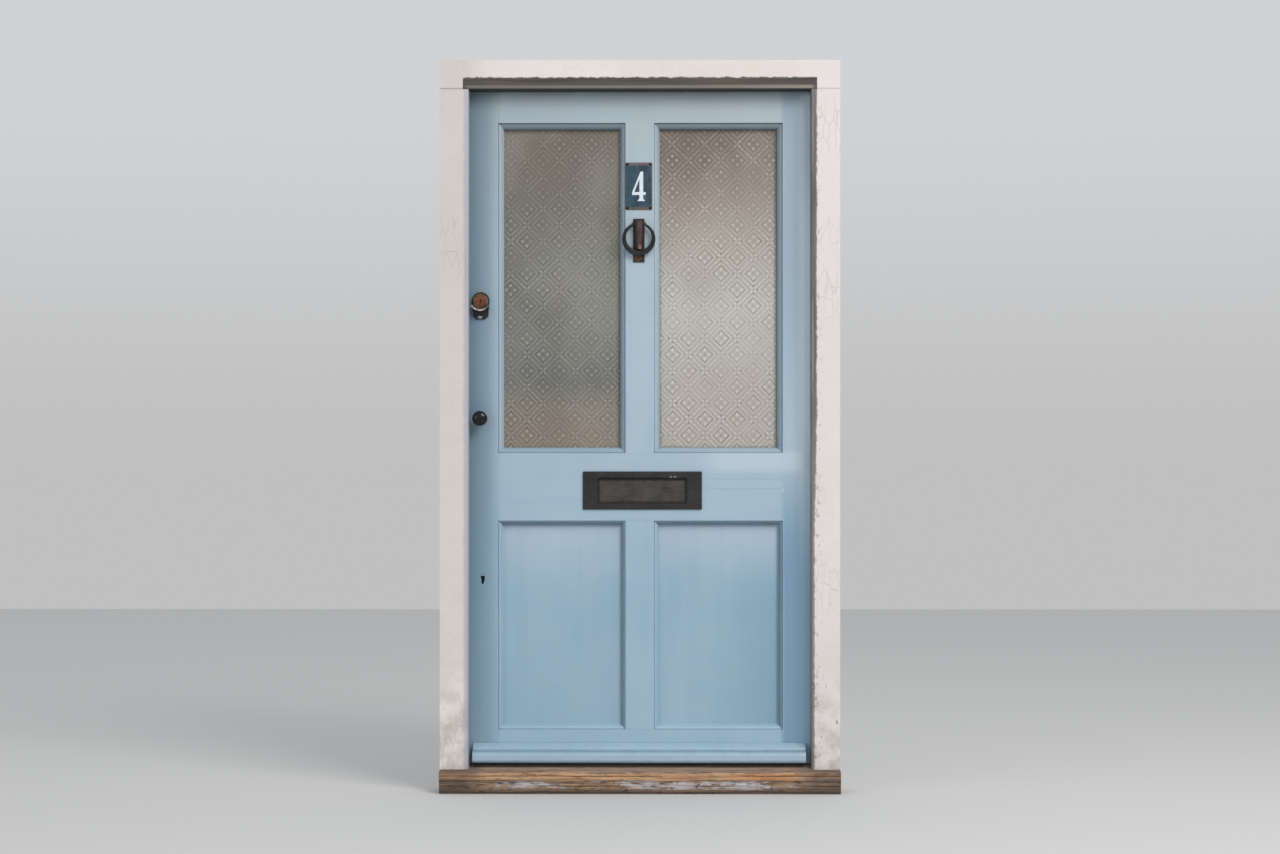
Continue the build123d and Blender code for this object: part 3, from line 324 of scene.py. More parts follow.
        # the wash laps further over the hinge-side strip lower down, and thins out across it
        lap = s.span(z, 0.65, 1.0, 0.0055, 0.0, smooth=True)
        edge_b = s.m("ADD", edge, lap)
        bare = s.m("MULTIPLY", s.span(edge_b, 0.4605, 0.4555), s.span(z, 0.65, 1.0, 0.50, 1.0))
        bare = s.m("MULTIPLY", s.m("MULTIPLY", bare, s.span(x, 0.0, 0.1)), s.span(y, 0.030, 0.020))
        line_b = s.m("MULTIPLY", s.span(edge_b, 0.4500, 0.4530), s.span(edge_b, 0.4580, 0.4555))
        wood = s.mix(s.m("MULTIPLY", line_b, 0.40), wood, lin(66, 62, 62))
        # the lock-side jamb keeps its wash, turning lilac grey beside the leaf
        lilac_strip = s.m("MULTIPLY", s.m("MULTIPLY", s.span(edge, 0.463, 0.451, 0.0, 1.0, smooth=True), s.span(x, 0.0, -0.1)), s.span(y, 0.030, 0.020))
        base = s.mix(s.m("MULTIPLY", lilac_strip, 0.70), base, lin(164, 164, 180))
        # painted shade: inside the reveal the wash is painted grey
        base = s.mix(s.m("MULTIPLY", reveal, s.span(x, 0.0, -0.1, 0.0, 0.85)), base, lin(150, 158, 168))
        bare = s.m("MAXIMUM", bare, s.m("MULTIPLY", reveal, s.m("MULTIPLY", s.span(x, 0.450, 0.452, 1.0, 0.0), s.span(x, 0.0, 0.1, 0.0, 0.18))))
    base = s.mix(bare, base, wood)
    rim = s.m("MULTIPLY", s.span(bare, 0.02, 0.3), s.span(bare, 0.98, 0.6))
    base = s.mix(s.m("MULTIPLY", rim, 0.5), base, lin(52, 46, 40))
    relief = s.m("ADD", s.m("MULTIPLY", fine, 0.35), s.m("MULTIPLY", mottle, 0.8))
    relief = s.m("SUBTRACT", relief, s.m("ADD", s.m("MULTIPLY", crack, 0.6), s.m("MULTIPLY", flake, 0.8)))
    relief = s.m("SUBTRACT", relief, s.m("MULTIPLY", bare, s.m("SUBTRACT", 1.1, grain)))
    s.set(Base_Color=base, Roughness=s.m("ADD", s.span(cloud, 0.3, 0.7, 0.52, 0.66), s.m("MULTIPLY", bare, 0.15)), Normal=s.bump(relief, 0.0009, 0.75))
    return s.mat


def black_iron(name, base_a, base_b, rough=(0.32, 0.52), wear=0.5, brushed=False):
    """Painted cast iron: slightly pitted, dusty in places, worn brown at high spots."""
    s = Shader(name)
    cloud = s.noise(s.pos(), 26.0, 4.0, 0.6)
    pit = s.noise(s.pos(), 420.0, 3.0, 0.6)
    lump = s.noise(s.pos(), 95.0, 2.0, 0.5)
    base = s.mix(s.span(cloud, 0.35, 0.68), base_a, base_b)
    rust = s.m("MULTIPLY", s.span(s.noise(s.pos(), 60.0, 5.0, 0.7), 0.60, 0.72), wear)
    base = s.mix(rust, base, lin(86, 58, 44))
    relief = s.m("ADD", s.m("MULTIPLY", pit, 0.35), lump)
    if brushed:
        streak = s.noise(s.scaled(22, 300, 420), 1.0, 3.0, 0.6)
        base = s.mix(s.span(streak, 0.45, 0.75, 0.0, 0.45), base, lin(92, 90, 83))
        relief = s.m("ADD", relief, s.m("MULTIPLY", streak, 0.8))
        # painted shade under the slot's upper edge and round the flap's rim
        x, y, z = s.xyz()
        slot_shadow = s.span(s.m("ADD", z, s.m("MULTIPLY", s.m("SUBTRACT", lump, 0.5), 0.004)), 0.8085, 0.8125)
        rim = s.m("MAXIMUM", s.span(s.m("ABSOLUTE", s.m("SUBTRACT", x, 0.006)), 0.1085, 0.1125), s.span(z, 0.7590, 0.7555))
        rim = s.m("MULTIPLY", rim, 0.55)
        base = s.mix(s.m("MAXIMUM", slot_shadow, rim), base, lin(20, 20, 20))
    s.set(Base_Color=base, Roughness=s.span(cloud, 0.3, 0.7, rough[0], rough[1]), Normal=s.bump(relief, 0.0006, 0.6))
    s.bsdf.inputs["Metallic"].default_value = 0.25
    return s.mat


def letter_iron():
    """Letterplate frame: charcoal paint, dusty grey in streaks, chipped at one corner of the slot."""
    s = Shader("letterplate_iron")
    x, y, z = s.xyz()
    cloud = s.noise(s.pos(), 20.0, 4.0, 0.6)
    pit = s.noise(s.pos(), 380.0, 3.0, 0.6)
    base = s.mix(s.span(cloud, 0.35, 0.68), lin(32, 31, 33), lin(47, 45, 45))
    base = s.mix(s.span(z, 0.765, 0.745, 0.0, 0.45), base, lin(44, 34, 42))
    dust = s.m("MULTIPLY", s.span(s.noise(s.scaled(60, 60, 160), 1.0, 4.0, 0.7), 0.52, 0.70), 0.18)
    base = s.mix(dust, base, lin(96, 92, 90))
    # painted shade: the walls of the slot and the arris round it are painted black
    wx = s.m("SUBTRACT", 0.1165, s.m("ABSOLUTE", s.m("SUBTRACT", x, 0.006)))
    wz = s.m("SUBTRACT", 0.0338, s.m("ABSOLUTE", s.m("SUBTRACT", z, 0.785)))
    slot = s.m("MULTIPLY", s.span(wx, 0.0, 0.0008), s.span(wz, 0.0, 0.0008))
    base = s.mix(s.m("MULTIPLY", slot, 0.85), base, lin(12, 12, 12))
    # pale chips at the slot's upper corner on the hinge side
    px = s.m("DIVIDE", s.m("SUBTRACT", x, 0.0865), 0.020)
    pz = s.m("DIVIDE", s.m("SUBTRACT", z, 0.8195), 0.0050)
    near = s.span(s.m("ADD", s.m("MULTIPLY", px, px), s.m("MULTIPLY", pz, pz)), 1.1, 0.5)
    chip = s.m("MULTIPLY", near, s.span(s.noise(s.pos(), 230.0, 3.0, 0.6), 0.55, 0.60))
    base = s.mix(chip, base, lin(176, 170, 160))
    relief = s.m("SUBTRACT", s.m("MULTIPLY", pit, 0.5), s.m("MULTIPLY", chip, 0.8))
    s.set(Base_Color=base, Roughness=s.span(cloud, 0.3, 0.7, 0.34, 0.50), Normal=s.bump(relief, 0.0005, 0.6))
    s.bsdf.inputs["Metallic"].default_value = 0.20
    return s.mat


def pull_iron():
    """Cylinder pull: black paint, with painted highlights on the front of its lip, on its collar and low on its plate.
    """
    s = Shader("pull_iron")
    x, y, z = s.xyz()
    cloud = s.noise(s.pos(), 40.0, 4.0, 0.6)
    pit = s.noise(s.pos(), 420.0, 3.0, 0.6)
    base = s.mix(s.span(cloud, 0.35, 0.68), lin(26, 29, 33), lin(46, 46, 50))
    # painted highlight: the front of the lip is painted pale grey
    wear_and_painted_light = s.m("MULTIPLY", s.span(y, -0.0195, -0.0235), s.span(s.noise(s.pos(), 130.0, 4.0, 0.7), 0.36, 0.56))
    base = s.mix(s.m("MULTIPLY", s.m("MULTIPLY", wear_and_painted_light, s.span(s.m("ABSOLUTE", s.m("ADD", x, 0.4185)), 0.0050, 0.0200, 1.0, 0.22)), 0.95), base, lin(204, 194, 200))
    # the brass rose shows round the cylinder
    rx, rz = s.m("ADD", x, 0.417), s.m("SUBTRACT", z, 1.281)
    rr = s.m("ADD", s.m("SQRT", s.m("ADD", s.m("MULTIPLY", rx, rx), s.m("MULTIPLY", rz, rz))), s.m("MULTIPLY", s.m("SUBTRACT", cloud, 0.5), 0.003))
    rose = s.m("MULTIPLY", s.span(rr, 0.0192, 0.0178), s.span(y, -0.006, -0.008))
    base = s.mix(rose, base, s.mix(s.span(s.noise(s.pos(), 150.0, 4.0, 0.6), 0.35, 0.65), lin(84, 68, 40), lin(124, 104, 70)))
    # painted highlight on the collar's side away from the frame
    collar = s.m("MULTIPLY", s.span(x, -0.404, -0.396), s.m("MULTIPLY", s.span(y, -0.004, -0.007), s.span(z, 1.262, 1.272)))
    base = s.mix(s.m("MULTIPLY", collar, 0.75), base, lin(122, 114, 118))
    # a painted highlight low on the plate
    dx = s.m("DIVIDE", s.m("ADD", x, 0.4185), 0.0062)
    dz = s.m("DIVIDE", s.m("SUBTRACT", z, 1.2385), 0.0034)
    spot = s.span(s.m("ADD", s.m("MULTIPLY", dx, dx), s.m("MULTIPLY", dz, dz)), 1.3, 0.4)
    base = s.mix(s.m("MULTIPLY", spot, 0.9), base, lin(168, 176, 182))
    s.set(Base_Color=base, Roughness=s.span(cloud, 0.3, 0.7, 0.28, 0.42), Normal=s.bump(pit, 0.0004, 0.5))
    s.bsdf.inputs["Metallic"].default_value = 0.35
    return s.mat


def cylinder_face():
    """Rim cylinder: olive-brown old brass with a coppery middle."""
    s = Shader("cylinder_brass")
    x, y, z = s.xyz()
    dx, dz = s.m("ADD", x, 0.417), s.m("SUBTRACT", z, 1.281)
    r = s.m("SQRT", s.m("ADD", s.m("MULTIPLY", dx, dx), s.m("MULTIPLY", dz, dz)))
    cloud = s.noise(s.pos(), 150.0, 4.0, 0.6)
    rr = s.m("ADD", r, s.m("MULTIPLY", s.m("SUBTRACT", cloud, 0.5), 0.004))
    olive = s.mix(s.span(cloud, 0.35, 0.65), lin(86, 70, 44), lin(122, 104, 78))
    copper = s.mix(s.span(cloud, 0.35, 0.65), lin(112, 62, 46), lin(142, 86, 66))
    base = s.mix(s.span(rr, 0.0138, 0.0156), copper, olive)
    s.set(Base_Color=base, Roughness=s.span(cloud, 0.3, 0.7, 0.36, 0.52), Normal=s.bump(s.noise(s.pos(), 500.0, 3.0, 0.6), 0.0003, 0.5))
    s.bsdf.inputs["Metallic"].default_value = 0.55
    return s.mat


def rusty_iron():
    """Knocker tongue: brown rust, paler higher up, purplish on the hinge side; a painted highlight low down its
    middle, painted shade down its lock side.
    """
    s = Shader("rusty_iron")
    cloud = s.noise(s.pos(), 60.0, 5.0, 0.65)
    fine = s.noise(s.pos(), 380.0, 4.0, 0.65)
    x, y, z = s.xyz()
    base = s.ramp(cloud, [(0.30, lin(38, 27, 29)), (0.48, lin(60, 42, 43)), (0.60, lin(74, 54, 53)), (0.74, lin(54, 36, 37))])
    height = s.span(z, 1.415, 1.490)
    base = s.mix(s.m("MULTIPLY", s.span(height, 0.45, 1.0), 0.34), base, lin(92, 72, 70))
    # painted highlight low down the middle, near the tip
    low = s.m("MULTIPLY", s.span(height, 0.20, 0.06), s.span(s.m("ABSOLUTE", s.m("SUBTRACT", x, 0.0005)), 0.0055, 0.0025))
    base = s.mix(s.m("MULTIPLY", low, 0.65), base, lin(150, 126, 118))
    # painted shade down the lock side
    left = s.span(x, -0.0060, -0.0105)
    base = s.mix(s.m("MULTIPLY", left, 0.85), base, lin(24, 30, 24))
    right = s.span(x, 0.002, 0.007)
    base = s.mix(s.m("MULTIPLY", right, 0.60), base, lin(66, 36, 50))
    relief = s.m("ADD", s.m("MULTIPLY", fine, 0.5), cloud)
    s.set(Base_Color=base, Roughness=s.span(cloud, 0.3, 0.7, 0.42, 0.66), Normal=s.bump(relief, 0.0009, 0.8))
    s.bsdf.inputs["Metallic"].default_value = 0.30
    return s.mat


def rusty_bolt():
    s = Shader("rusty_bolt")
    x, y, z = s.xyz()
    dx, dz = s.m("ADD", x, 0.003), s.m("SUBTRACT", z, LEAF_Z + 1.320)
    r = s.m("SQRT", s.m("ADD", s.m("MULTIPLY", dx, dx), s.m("MULTIPLY", dz, dz)))
    cloud = s.noise(s.pos(), 260.0, 4.0, 0.65)
    base = s.mix(s.span(cloud, 0.35, 0.65), lin(92, 58, 28), lin(128, 84, 42))
    base = s.mix(s.span(r, 0.0026, 0.0019), base, lin(24, 14, 6))
    s.set(Base_Color=base, Roughness=s.span(cloud, 0.3, 0.7, 0.55, 0.75), Normal=s.bump(cloud, 0.0006, 0.7))
    s.bsdf.inputs["Metallic"].default_value = 0.2
    return s.mat


def aged_brass():
    """Aged brass; the tail of the dead bolt inside the case is painted black, shade where it shows through the
    keyhole.
    """
    s = Shader("aged_brass")
    x, y, z = s.xyz()
    cloud = s.noise(s.pos(), 60.0, 4.0, 0.6)
    fine = s.noise(s.pos(), 720.0, 2.0, 0.5)
    base = s.mix(s.span(cloud, 0.35, 0.7), lin(130, 98, 60), lin(172, 134, 84))
    # painted shade: the bolt's tail behind the keyhole is painted near black
    base = s.mix(s.m("MULTIPLY", s.span(x, -0.432, -0.427), s.span(z, 0.64, 0.62)), base, lin(14, 13, 12))
    s.set(Base_Color=base, Roughness=s.span(cloud, 0.3, 0.7, 0.28, 0.44), Normal=s.bump(fine, 0.0002, 0.4))
    s.bsdf.inputs["Metallic"].default_value = 0.9
    return s.mat


def plate_iron():
    """Knocker plate: black iron, rusting round its lower bolt."""
    s = Shader("backplate_iron")
    x, y, z = s.xyz()
    cloud = s.noise(s.pos(), 26.0, 4.0, 0.6)
    fine = s.noise(s.pos(), 240.0, 4.0, 0.65)
    base = s.mix(s.span(cloud, 0.35, 0.68), lin(30, 36, 32), lin(52, 52, 44))
    base = s.mix(s.m("MULTIPLY", s.span(s.noise(s.pos(), 60.0, 5.0, 0.7), 0.60, 0.72), 0.7), base, lin(86, 58, 44))
    dx, dz = s.m("ADD", x, 0.0040), s.m("SUBTRACT", z, LEAF_Z + 1.3225)
    r = s.m("ADD", s.m("SQRT", s.m("ADD", s.m("MULTIPLY", dx, dx), s.m("MULTIPLY", dz, dz))), s.m("MULTIPLY", s.m("SUBTRACT", fine, 0.5), 0.004))
    base = s.mix(s.span(r, 0.0092, 0.0068, 0.0, 0.85), base, s.mix(s.span(fine, 0.35, 0.65), lin(104, 64, 32), lin(142, 92, 48)))
    relief = s.m("ADD", s.m("MULTIPLY", fine, 0.5), cloud)
    s.set(Base_Color=base, Roughness=s.span(cloud, 0.3, 0.7, 0.36, 0.58), Normal=s.bump(relief, 0.0006, 0.6))
    s.bsdf.inputs["Metallic"].default_value = 0.2
    return s.mat


def metal(name, a, b, rough, metallic=1.0, scale=60.0):
    s = Shader(name)
    cloud = s.noise(s.pos(), scale, 4.0, 0.6)
    fine = s.noise(s.pos(), scale * 12, 2.0, 0.5)
    s.set(Base_Color=s.mix(s.span(cloud, 0.35, 0.7), a, b), Roughness=s.span(cloud, 0.3, 0.7, rough[0], rough[1]),
          Normal=s.bump(s.m("ADD", s.m("MULTIPLY", fine, 0.4), cloud), 0.0004, 0.4))
    s.bsdf.inputs["Metallic"].default_value = metallic
    return s.mat


def lock_paint():
    s = Shader("lock_paint")
    cloud = s.noise(s.pos(), 30.0, 3.0, 0.55)
    peel = s.noise(s.pos(), 500.0, 2.0, 0.5)
    wear_and_painted_light = s.span(s.noise(s.pos(), 85.0, 4.0, 0.7), 0.64, 0.72)
    base = s.mix(s.span(cloud, 0.35, 0.65), lin(74, 62, 54), lin(92, 78, 66))
    base = s.mix(s.m("MULTIPLY", wear_and_painted_light, 0.6), base, lin(150, 132, 92))
    s.set(Base_Color=base, Roughness=s.span(cloud, 0.3, 0.7, 0.34, 0.46), Normal=s.bump(peel, 0.0003, 0.4))
    return s.mat


def enamel():
    """Dark vitreous enamel with its edge chipped to rusty steel at top and bottom."""
    s = Shader("enamel")
    x, y, z = s.xyz()
    cx, cz, hw, hh = -0.003, LEAF_Z + 1.509, 0.035, 0.062
    ex = s.m("SUBTRACT", hw, s.m("ABSOLUTE", s.m("SUBTRACT", x, cx)))
    ez = s.m("SUBTRACT", hh, s.m("ABSOLUTE", s.m("SUBTRACT", z, cz)))
    cloud = s.noise(s.pos(), 45.0, 4.0, 0.6)
    ragged = s.m("MULTIPLY", s.m("SUBTRACT", s.noise(s.pos(), 180.0, 4.0, 0.7), 0.5), 0.011)
    corner = s.m("MULTIPLY", s.span(ex, 0.014, 0.002), 0.0035)
    border = s.span(s.m("ADD", s.m("SUBTRACT", ez, corner), ragged), 0.0080, 0.0062)
    side = s.span(s.m("ADD", ex, ragged), 0.0020, 0.0008)
    edge = s.m("MAXIMUM", border, side)
    base = s.mix(s.span(cloud, 0.38, 0.62), lin(40, 56, 72), lin(58, 76, 92))
    base = s.mix(s.span(x, 0.006, -0.030, 0.0, 0.65), base, lin(34, 74, 92))
    base = s.mix(s.span(s.noise(s.pos(), 70.0, 4.0, 0.65), 0.52, 0.70, 0.0, 0.45), base, lin(84, 96, 104))
    tone = s.noise(s.pos(), 240.0, 4.0, 0.7)
    rust = s.ramp(tone, [(0.35, lin(62, 58, 60)), (0.52, lin(116, 104, 100)), (0.66, lin(92, 74, 62))])
    rust = s.mix(s.span(z, 1.57, 1.54), rust, s.ramp(tone, [(0.35, lin(58, 52, 40)), (0.52, lin(108, 96, 76)), (0.66, lin(84, 66, 48))]))
    base = s.mix(s.m("MULTIPLY", edge, 0.85), base, rust)
    relief = s.m("SUBTRACT", s.m("MULTIPLY", cloud, 0.4), s.m("MULTIPLY", edge, 0.9))
    s.set(Base_Color=base, Roughness=s.m("ADD", 0.18, s.m("MULTIPLY", edge, 0.45)), Normal=s.bump(relief, 0.0004, 0.5))
    return s.mat


def numeral_enamel():
    s = Shader("white_enamel")
    cloud = s.noise(s.pos(), 120.0, 3.0, 0.55)
    base = s.mix(s.span(cloud, 0.4, 0.75), lin(222, 232, 240), lin(200, 212, 224))
    s.set(Base_Color=base, Roughness=0.22)
    return s.mat


def etched_glass():
    """Pane etched all over on the room side: a lattice of diamonds with small bosses where they meet."""
    s = Shader("etched_glass")
    x, y, z = s.xyz()
    P = 0.085
    warp = s.m("MULTIPLY", s.m("SUBTRACT", s.noise(s.pos(), 5.0, 2.0), 0.5), 0.004)
    zs = s.m("ADD", z, 0.0055)
    a = s.m("DIVIDE", s.m("ADD", s.m("ADD", x, zs), warp), P)
    b = s.m("DIVIDE", s.m("SUBTRACT", s.m("ADD", x, warp), zs), P)

    def tri(v):
        """Distance to the nearest whole number, 0 to 0.5."""
        t = s.m("FRACT", s.m("ADD", v, 40.0))
        return s.m("SUBTRACT", 0.5, s.m("ABSOLUTE", s.m("SUBTRACT", t, 0.5)))

    def line(v, at, half, soft=0.012):
        return s.span(s.m("ABSOLUTE", s.m("SUBTRACT", v, at)), half, half + soft, 1.0, 0.0)

    def spot(u, v, at_u, at_v, r):
        du, dv = s.m("SUBTRACT", u, at_u), s.m("SUBTRACT", v, at_v)
        d = s.m("SQRT", s.m("ADD", s.m("MULTIPLY", du, du), s.m("MULTIPLY", dv, dv)))
        return s.span(d, r * 0.55, r * 1.25, 1.0, 0.0, smooth=True)

    def big(*vals):
        v = vals[0]
        for w in vals[1:]:
            v = s.m("MAXIMUM", v, w)
        return v

    la, lb = tri(a), tri(b)
    ca, cb = s.m("SUBTRACT", 0.5, la), s.m("SUBTRACT", 0.5, lb)
    q = s.m("MAXIMUM", ca, cb)
    # dark lines: a diamond in each cell, a fainter one outside it, a point where borders cross
    dark = big(s.m("MULTIPLY", line(q, 0.248, 0.020), 0.80), s.m("MULTIPLY", line(q, 0.412, 0.012), 0.52), s.m("MULTIPLY", spot(ca, cb, 0.0, 0.0, 0.070), 0.55),
               s.m("MULTIPLY", spot(la, lb, 0.0, 0.0, 0.060), 0.9), s.m("MULTIPLY", spot(la, lb, 0.115, 0.115, 0.055), 0.85),
               s.m("MULTIPLY", spot(la, lb, 0.0, 0.240, 0.040), 0.7), s.m("MULTIPLY", spot(la, lb, 0.240, 0.0, 0.040), 0.7))
    # pale bosses: four in each diamond and four round each crossing, on a pale net along the borders
    pale = big(spot(ca, cb, 0.135, 0.135, 0.068), s.m("MULTIPLY", line(q, 0.325, 0.024), 0.50), s.m("MULTIPLY", line(q, 0.480, 0.014), 0.50),
               spot(la, lb, 0.0, 0.150, 0.050), spot(la, lb, 0.150, 0.0, 0.050),
               s.m("MULTIPLY", spot(la, lb, 0.0, 0.330, 0.042), 0.85), s.m("MULTIPLY", spot(la, lb, 0.330, 0.0, 0.042), 0.85))
    # the etching is worn thin in places
    wear = s.noise(s.pos(), 13.0, 5.0, 0.65)
    strength = s.m("MULTIPLY", s.span(wear, 0.34, 0.62, 0.28, 1.0), s.span(s.noise(s.pos(), 95.0, 2.0, 0.6), 0.34, 0.60, 0.45, 1.10))
    strength = s.m("MULTIPLY", strength, s.m("MULTIPLY", s.span(z, 1.36, 1.62, 1.0, 0.58, smooth=True), s.span(x, -0.01, 0.01, 0.82, 1.0)))
    grime_and_painted_shade = s.noise(s.scaled(9, 9, 5), 1.0, 4.0, 0.6)
    broad = s.noise(s.scaled(3.2, 3.2, 2.2, (0.3, 0.0, 0.7)), 1.0, 3.0, 0.55)
    # the ground of each pane is painted with its reflections: the lock-side pane is the darker of the two, and both
    # change with height
    side = s.span(x, -0.01, 0.01)
    height = s.span(z, 0.88, 1.747)
    left_c = s.ramp(height, [(0.0, lin(146, 132, 118)), (0.14, lin(136, 128, 118)), (0.22, lin(110, 111, 106)), (0.60, lin(124, 124, 118)), (1.0, lin(116, 106, 97))])
    right_c = s.ramp(height, [(0.0, lin(179, 171, 163)), (0.45, lin(197, 196, 190)), (0.70, lin(166, 157, 148)), (0.86, lin(130, 118, 108)), (1.0, lin(112, 102, 94))])
    ground = s.mix(side, left_c, right_c)
    ground = s.mix(s.span(broad, 0.42, 0.62, 0.0, 0.22), ground, lin(196, 194, 188))
    ground = s.mix(s.span(broad, 0.46, 0.30, 0.0, 0.24), ground, lin(112, 101, 92))
    ground = s.mix(s.span(grime_and_painted_shade, 0.35, 0.75, 0.0, 0.16), ground, lin(150, 138, 124))
    lighter = s.mix(side, lin(182, 182, 175), lin(226, 223, 216))
    darker = s.mix(side, lin(70, 72, 69), lin(116, 108, 98))
    base = s.mix(s.m("MULTIPLY", s.m("MULTIPLY", dark, strength), 0.72), ground, darker)
    base = s.mix(s.m("MULTIPLY", s.m("MULTIPLY", pale, strength), 0.72), base, lighter)
    rim = s.m("MINIMUM", s.m("SUBTRACT", 0.1672, s.m("ABSOLUTE", s.m("SUBTRACT", s.m("ABSOLUTE", x), 0.2050))),
              s.m("SUBTRACT", 0.4318, s.m("ABSOLUTE", s.m("SUBTRACT", z, 1.3152))))
    putty = s.span(s.m("ADD", rim, s.m("MULTIPLY", s.m("SUBTRACT", grime_and_painted_shade, 0.5), 0.012)), 0.0185, 0.0145)
    base = s.mix(s.m("MULTIPLY", putty, 0.45), base, lin(84, 84, 78))
    # painted shadow on the pane under the top bead and beside the hinge-side bead
    shade = s.m("MAXIMUM", s.span(z, 1.7180, 1.7330, 0.0, 1.0, smooth=True),
                s.m("MULTIPLY", s.span(s.m("ADD", s.m("SUBTRACT", x, s.m("MULTIPLY", side, 0.4110)), 0.0520), -0.0120, 0.0, 0.0, 1.0, smooth=True), 0.75))
    base = s.mix(s.m("MULTIPLY", shade, 0.55), base, lin(58, 58, 54))
    frost = s.m("ADD", s.m("MULTIPLY", pale, 0.5), s.m("MULTIPLY", s.m("SUBTRACT", 1.0, dark), 0.3))
    s.set(Base_Color=base, Roughness=s.span(frost, 0.0, 0.8, 0.10, 0.34),
          Normal=s.bump(s.m("ADD", s.m("MULTIPLY", s.m("SUBTRACT", pale, dark), 0.5), s.m("MULTIPLY", s.noise(s.pos(), 5.0, 1.0), 3.0)), 0.0004, 0.30))
    s.bsdf.inputs["IOR"].default_value = 1.5
    s.bsdf.inputs["Transmission Weight"].default_value = 0.12
    return s.mat


def weathered_oak():
    """Bare hardwood sill: orange-brown upper band, eroded grey-brown below, remains of pale paint."""
    s = Shader("sill_oak")
    x, y, z = s.xyz()
    deep = s.new("ShaderNodeAttribute", attribute_name="depth").outputs["Fac"]
    crack = s.new("ShaderNodeAttribute", attribute_name="crack").outputs["Fac"]
    grain = s.noise(s.scaled(5.0, 230, 230), 1.0, 5.0, 0.65, 0.3)
    broad = s.noise(s.scaled(3.0, 40, 40), 1.0, 4.0, 0.6)
    patch = s.noise(s.scaled(10.0, 46, 46), 1.0, 5.0, 0.68)
    fleck = s.noise(s.scaled(34, 180, 180), 1.0, 4.0, 0.7)
    front = s.span(y, -0.058, -0.070)
    # top slope: brown-grey
    top_c = s.ramp(grain, [(0.28, lin(88, 72, 64)), (0.46, lin(136, 114, 100)), (0.60, lin(170, 144, 126)), (0.76, lin(148, 130, 120))])
    # upper band of the front, fresher timber
    warm = s.ramp(grain, [(0.26, lin(128, 92, 66)), (0.44, lin(180, 140, 106)), (0.58, lin(206, 168, 132)), (0.75, lin(184, 150, 122))])
    warm = s.mix(s.span(broad, 0.52, 0.68, 0.0, 0.50), warm, lin(180, 122, 82))
    warm = s.mix(s.span(patch, 0.54, 0.66, 0.0, 0.70), warm, lin(150, 128, 116))
    # lower band
    lower = s.ramp(grain, [(0.26, lin(96, 76, 60)), (0.44, lin(152, 122, 96)), (0.60, lin(190, 158, 124)), (0.76, lin(160, 138, 120))])
    lower = s.mix(s.span(patch, 0.46, 0.64, 0.0, 0.8), lower, lin(142, 124, 112))
    lower = s.mix(s.m("MULTIPLY", s.span(fleck, 0.56, 0.62), s.span(broad, 0.42, 0.56)), lower, lin(190, 150, 116))
    lower = s.mix(s.span(z, 0.014, 0.002, 0.0, 0.55), lower, lin(78, 66, 58))
    short = s.noise(s.scaled(26, 120, 120, (0.4, 0.1, 0.2)), 1.0, 5.0, 0.68)
    zb = s.m("ADD", s.m("ADD", z, s.m("MULTIPLY", s.m("SUBTRACT", broad, 0.5), 0.020)), s.m("MULTIPLY", s.m("SUBTRACT", short, 0.5), 0.016))
    # short broken fibres in both bands
    warm = s.mix(s.span(short, 0.56, 0.66, 0.0, 0.70), warm, lin(124, 88, 66))
    warm = s.mix(s.span(short, 0.44, 0.34, 0.0, 0.55), warm, lin(212, 158, 112))
    lower = s.mix(s.span(short, 0.53, 0.62, 0.0, 0.65), lower, lin(96, 80, 70))
    lower = s.mix(s.span(short, 0.44, 0.34, 0.0, 0.45), lower, lin(178, 152, 132))
    # fresher orange splinters towards the hinge-side end
    split = s.m("MULTIPLY", s.m("MULTIPLY", s.span(x, 0.22, 0.26), s.span(x, 0.42, 0.38)), s.m("MULTIPLY", s.span(z, 0.034, 0.038), s.span(short, 0.40, 0.52)))
    warm = s.mix(s.m("MULTIPLY", split, 0.75), warm, lin(196, 134, 84))
    lower = s.mix(s.span(zb, 0.024, 0.010, 0.0, 0.62), lower, lin(92, 76, 66))
    top_c = s.mix(s.span(short, 0.53, 0.64, 0.0, 0.60), top_c, lin(84, 64, 52))
    top_c = s.mix(s.span(short, 0.46, 0.36, 0.0, 0.40), top_c, lin(196, 150, 112))
    # painted light: the slope is paler towards the leaf, offsetting the shadow under the weather bar
    top_c = s.mix(s.span(y, -0.060, -0.020, 0.0, 0.55), top_c, lin(206, 178, 156))
    top_c = s.mix(s.m("MULTIPLY", s.span(y, -0.070, -0.077), 0.40), top_c, lin(96, 76, 62))
    wood = s.mix(s.span(zb, 0.0325, 0.0385), lower, warm)
    wood = s.mix(s.span(zb, 0.0532, 0.0558), wood, top_c)
    wood = s.mix(s.m("SUBTRACT", 1.0, front), wood, top_c)
    # remains of pale paint in the hollow under the band, most on the hinge side
    where = s.m("MULTIPLY", s.span(zb, 0.012, 0.018), s.span(zb, 0.038, 0.033))
    bias = s.m("ADD", s.m("MULTIPLY", s.m("MULTIPLY", s.span(x, 0.06, 0.13), s.span(x, 0.34, 0.30)), 0.15), s.m("MULTIPLY", s.m("MULTIPLY", s.span(x, -0.17, -0.12), s.span(x, 0.06, 0.02)), 0.08))
    remain = s.m("MULTIPLY", s.span(s.m("ADD", patch, bias), 0.535, 0.575), where)
    remain = s.m("MULTIPLY", remain, s.span(fleck, 0.38, 0.48))
    remain = s.m("MULTIPLY", remain, front)
    wood = s.mix(s.m("MULTIPLY", remain, 0.85), wood, s.mix(s.span(fleck, 0.45, 0.65), lin(180, 178, 184), lin(208, 204, 204)))
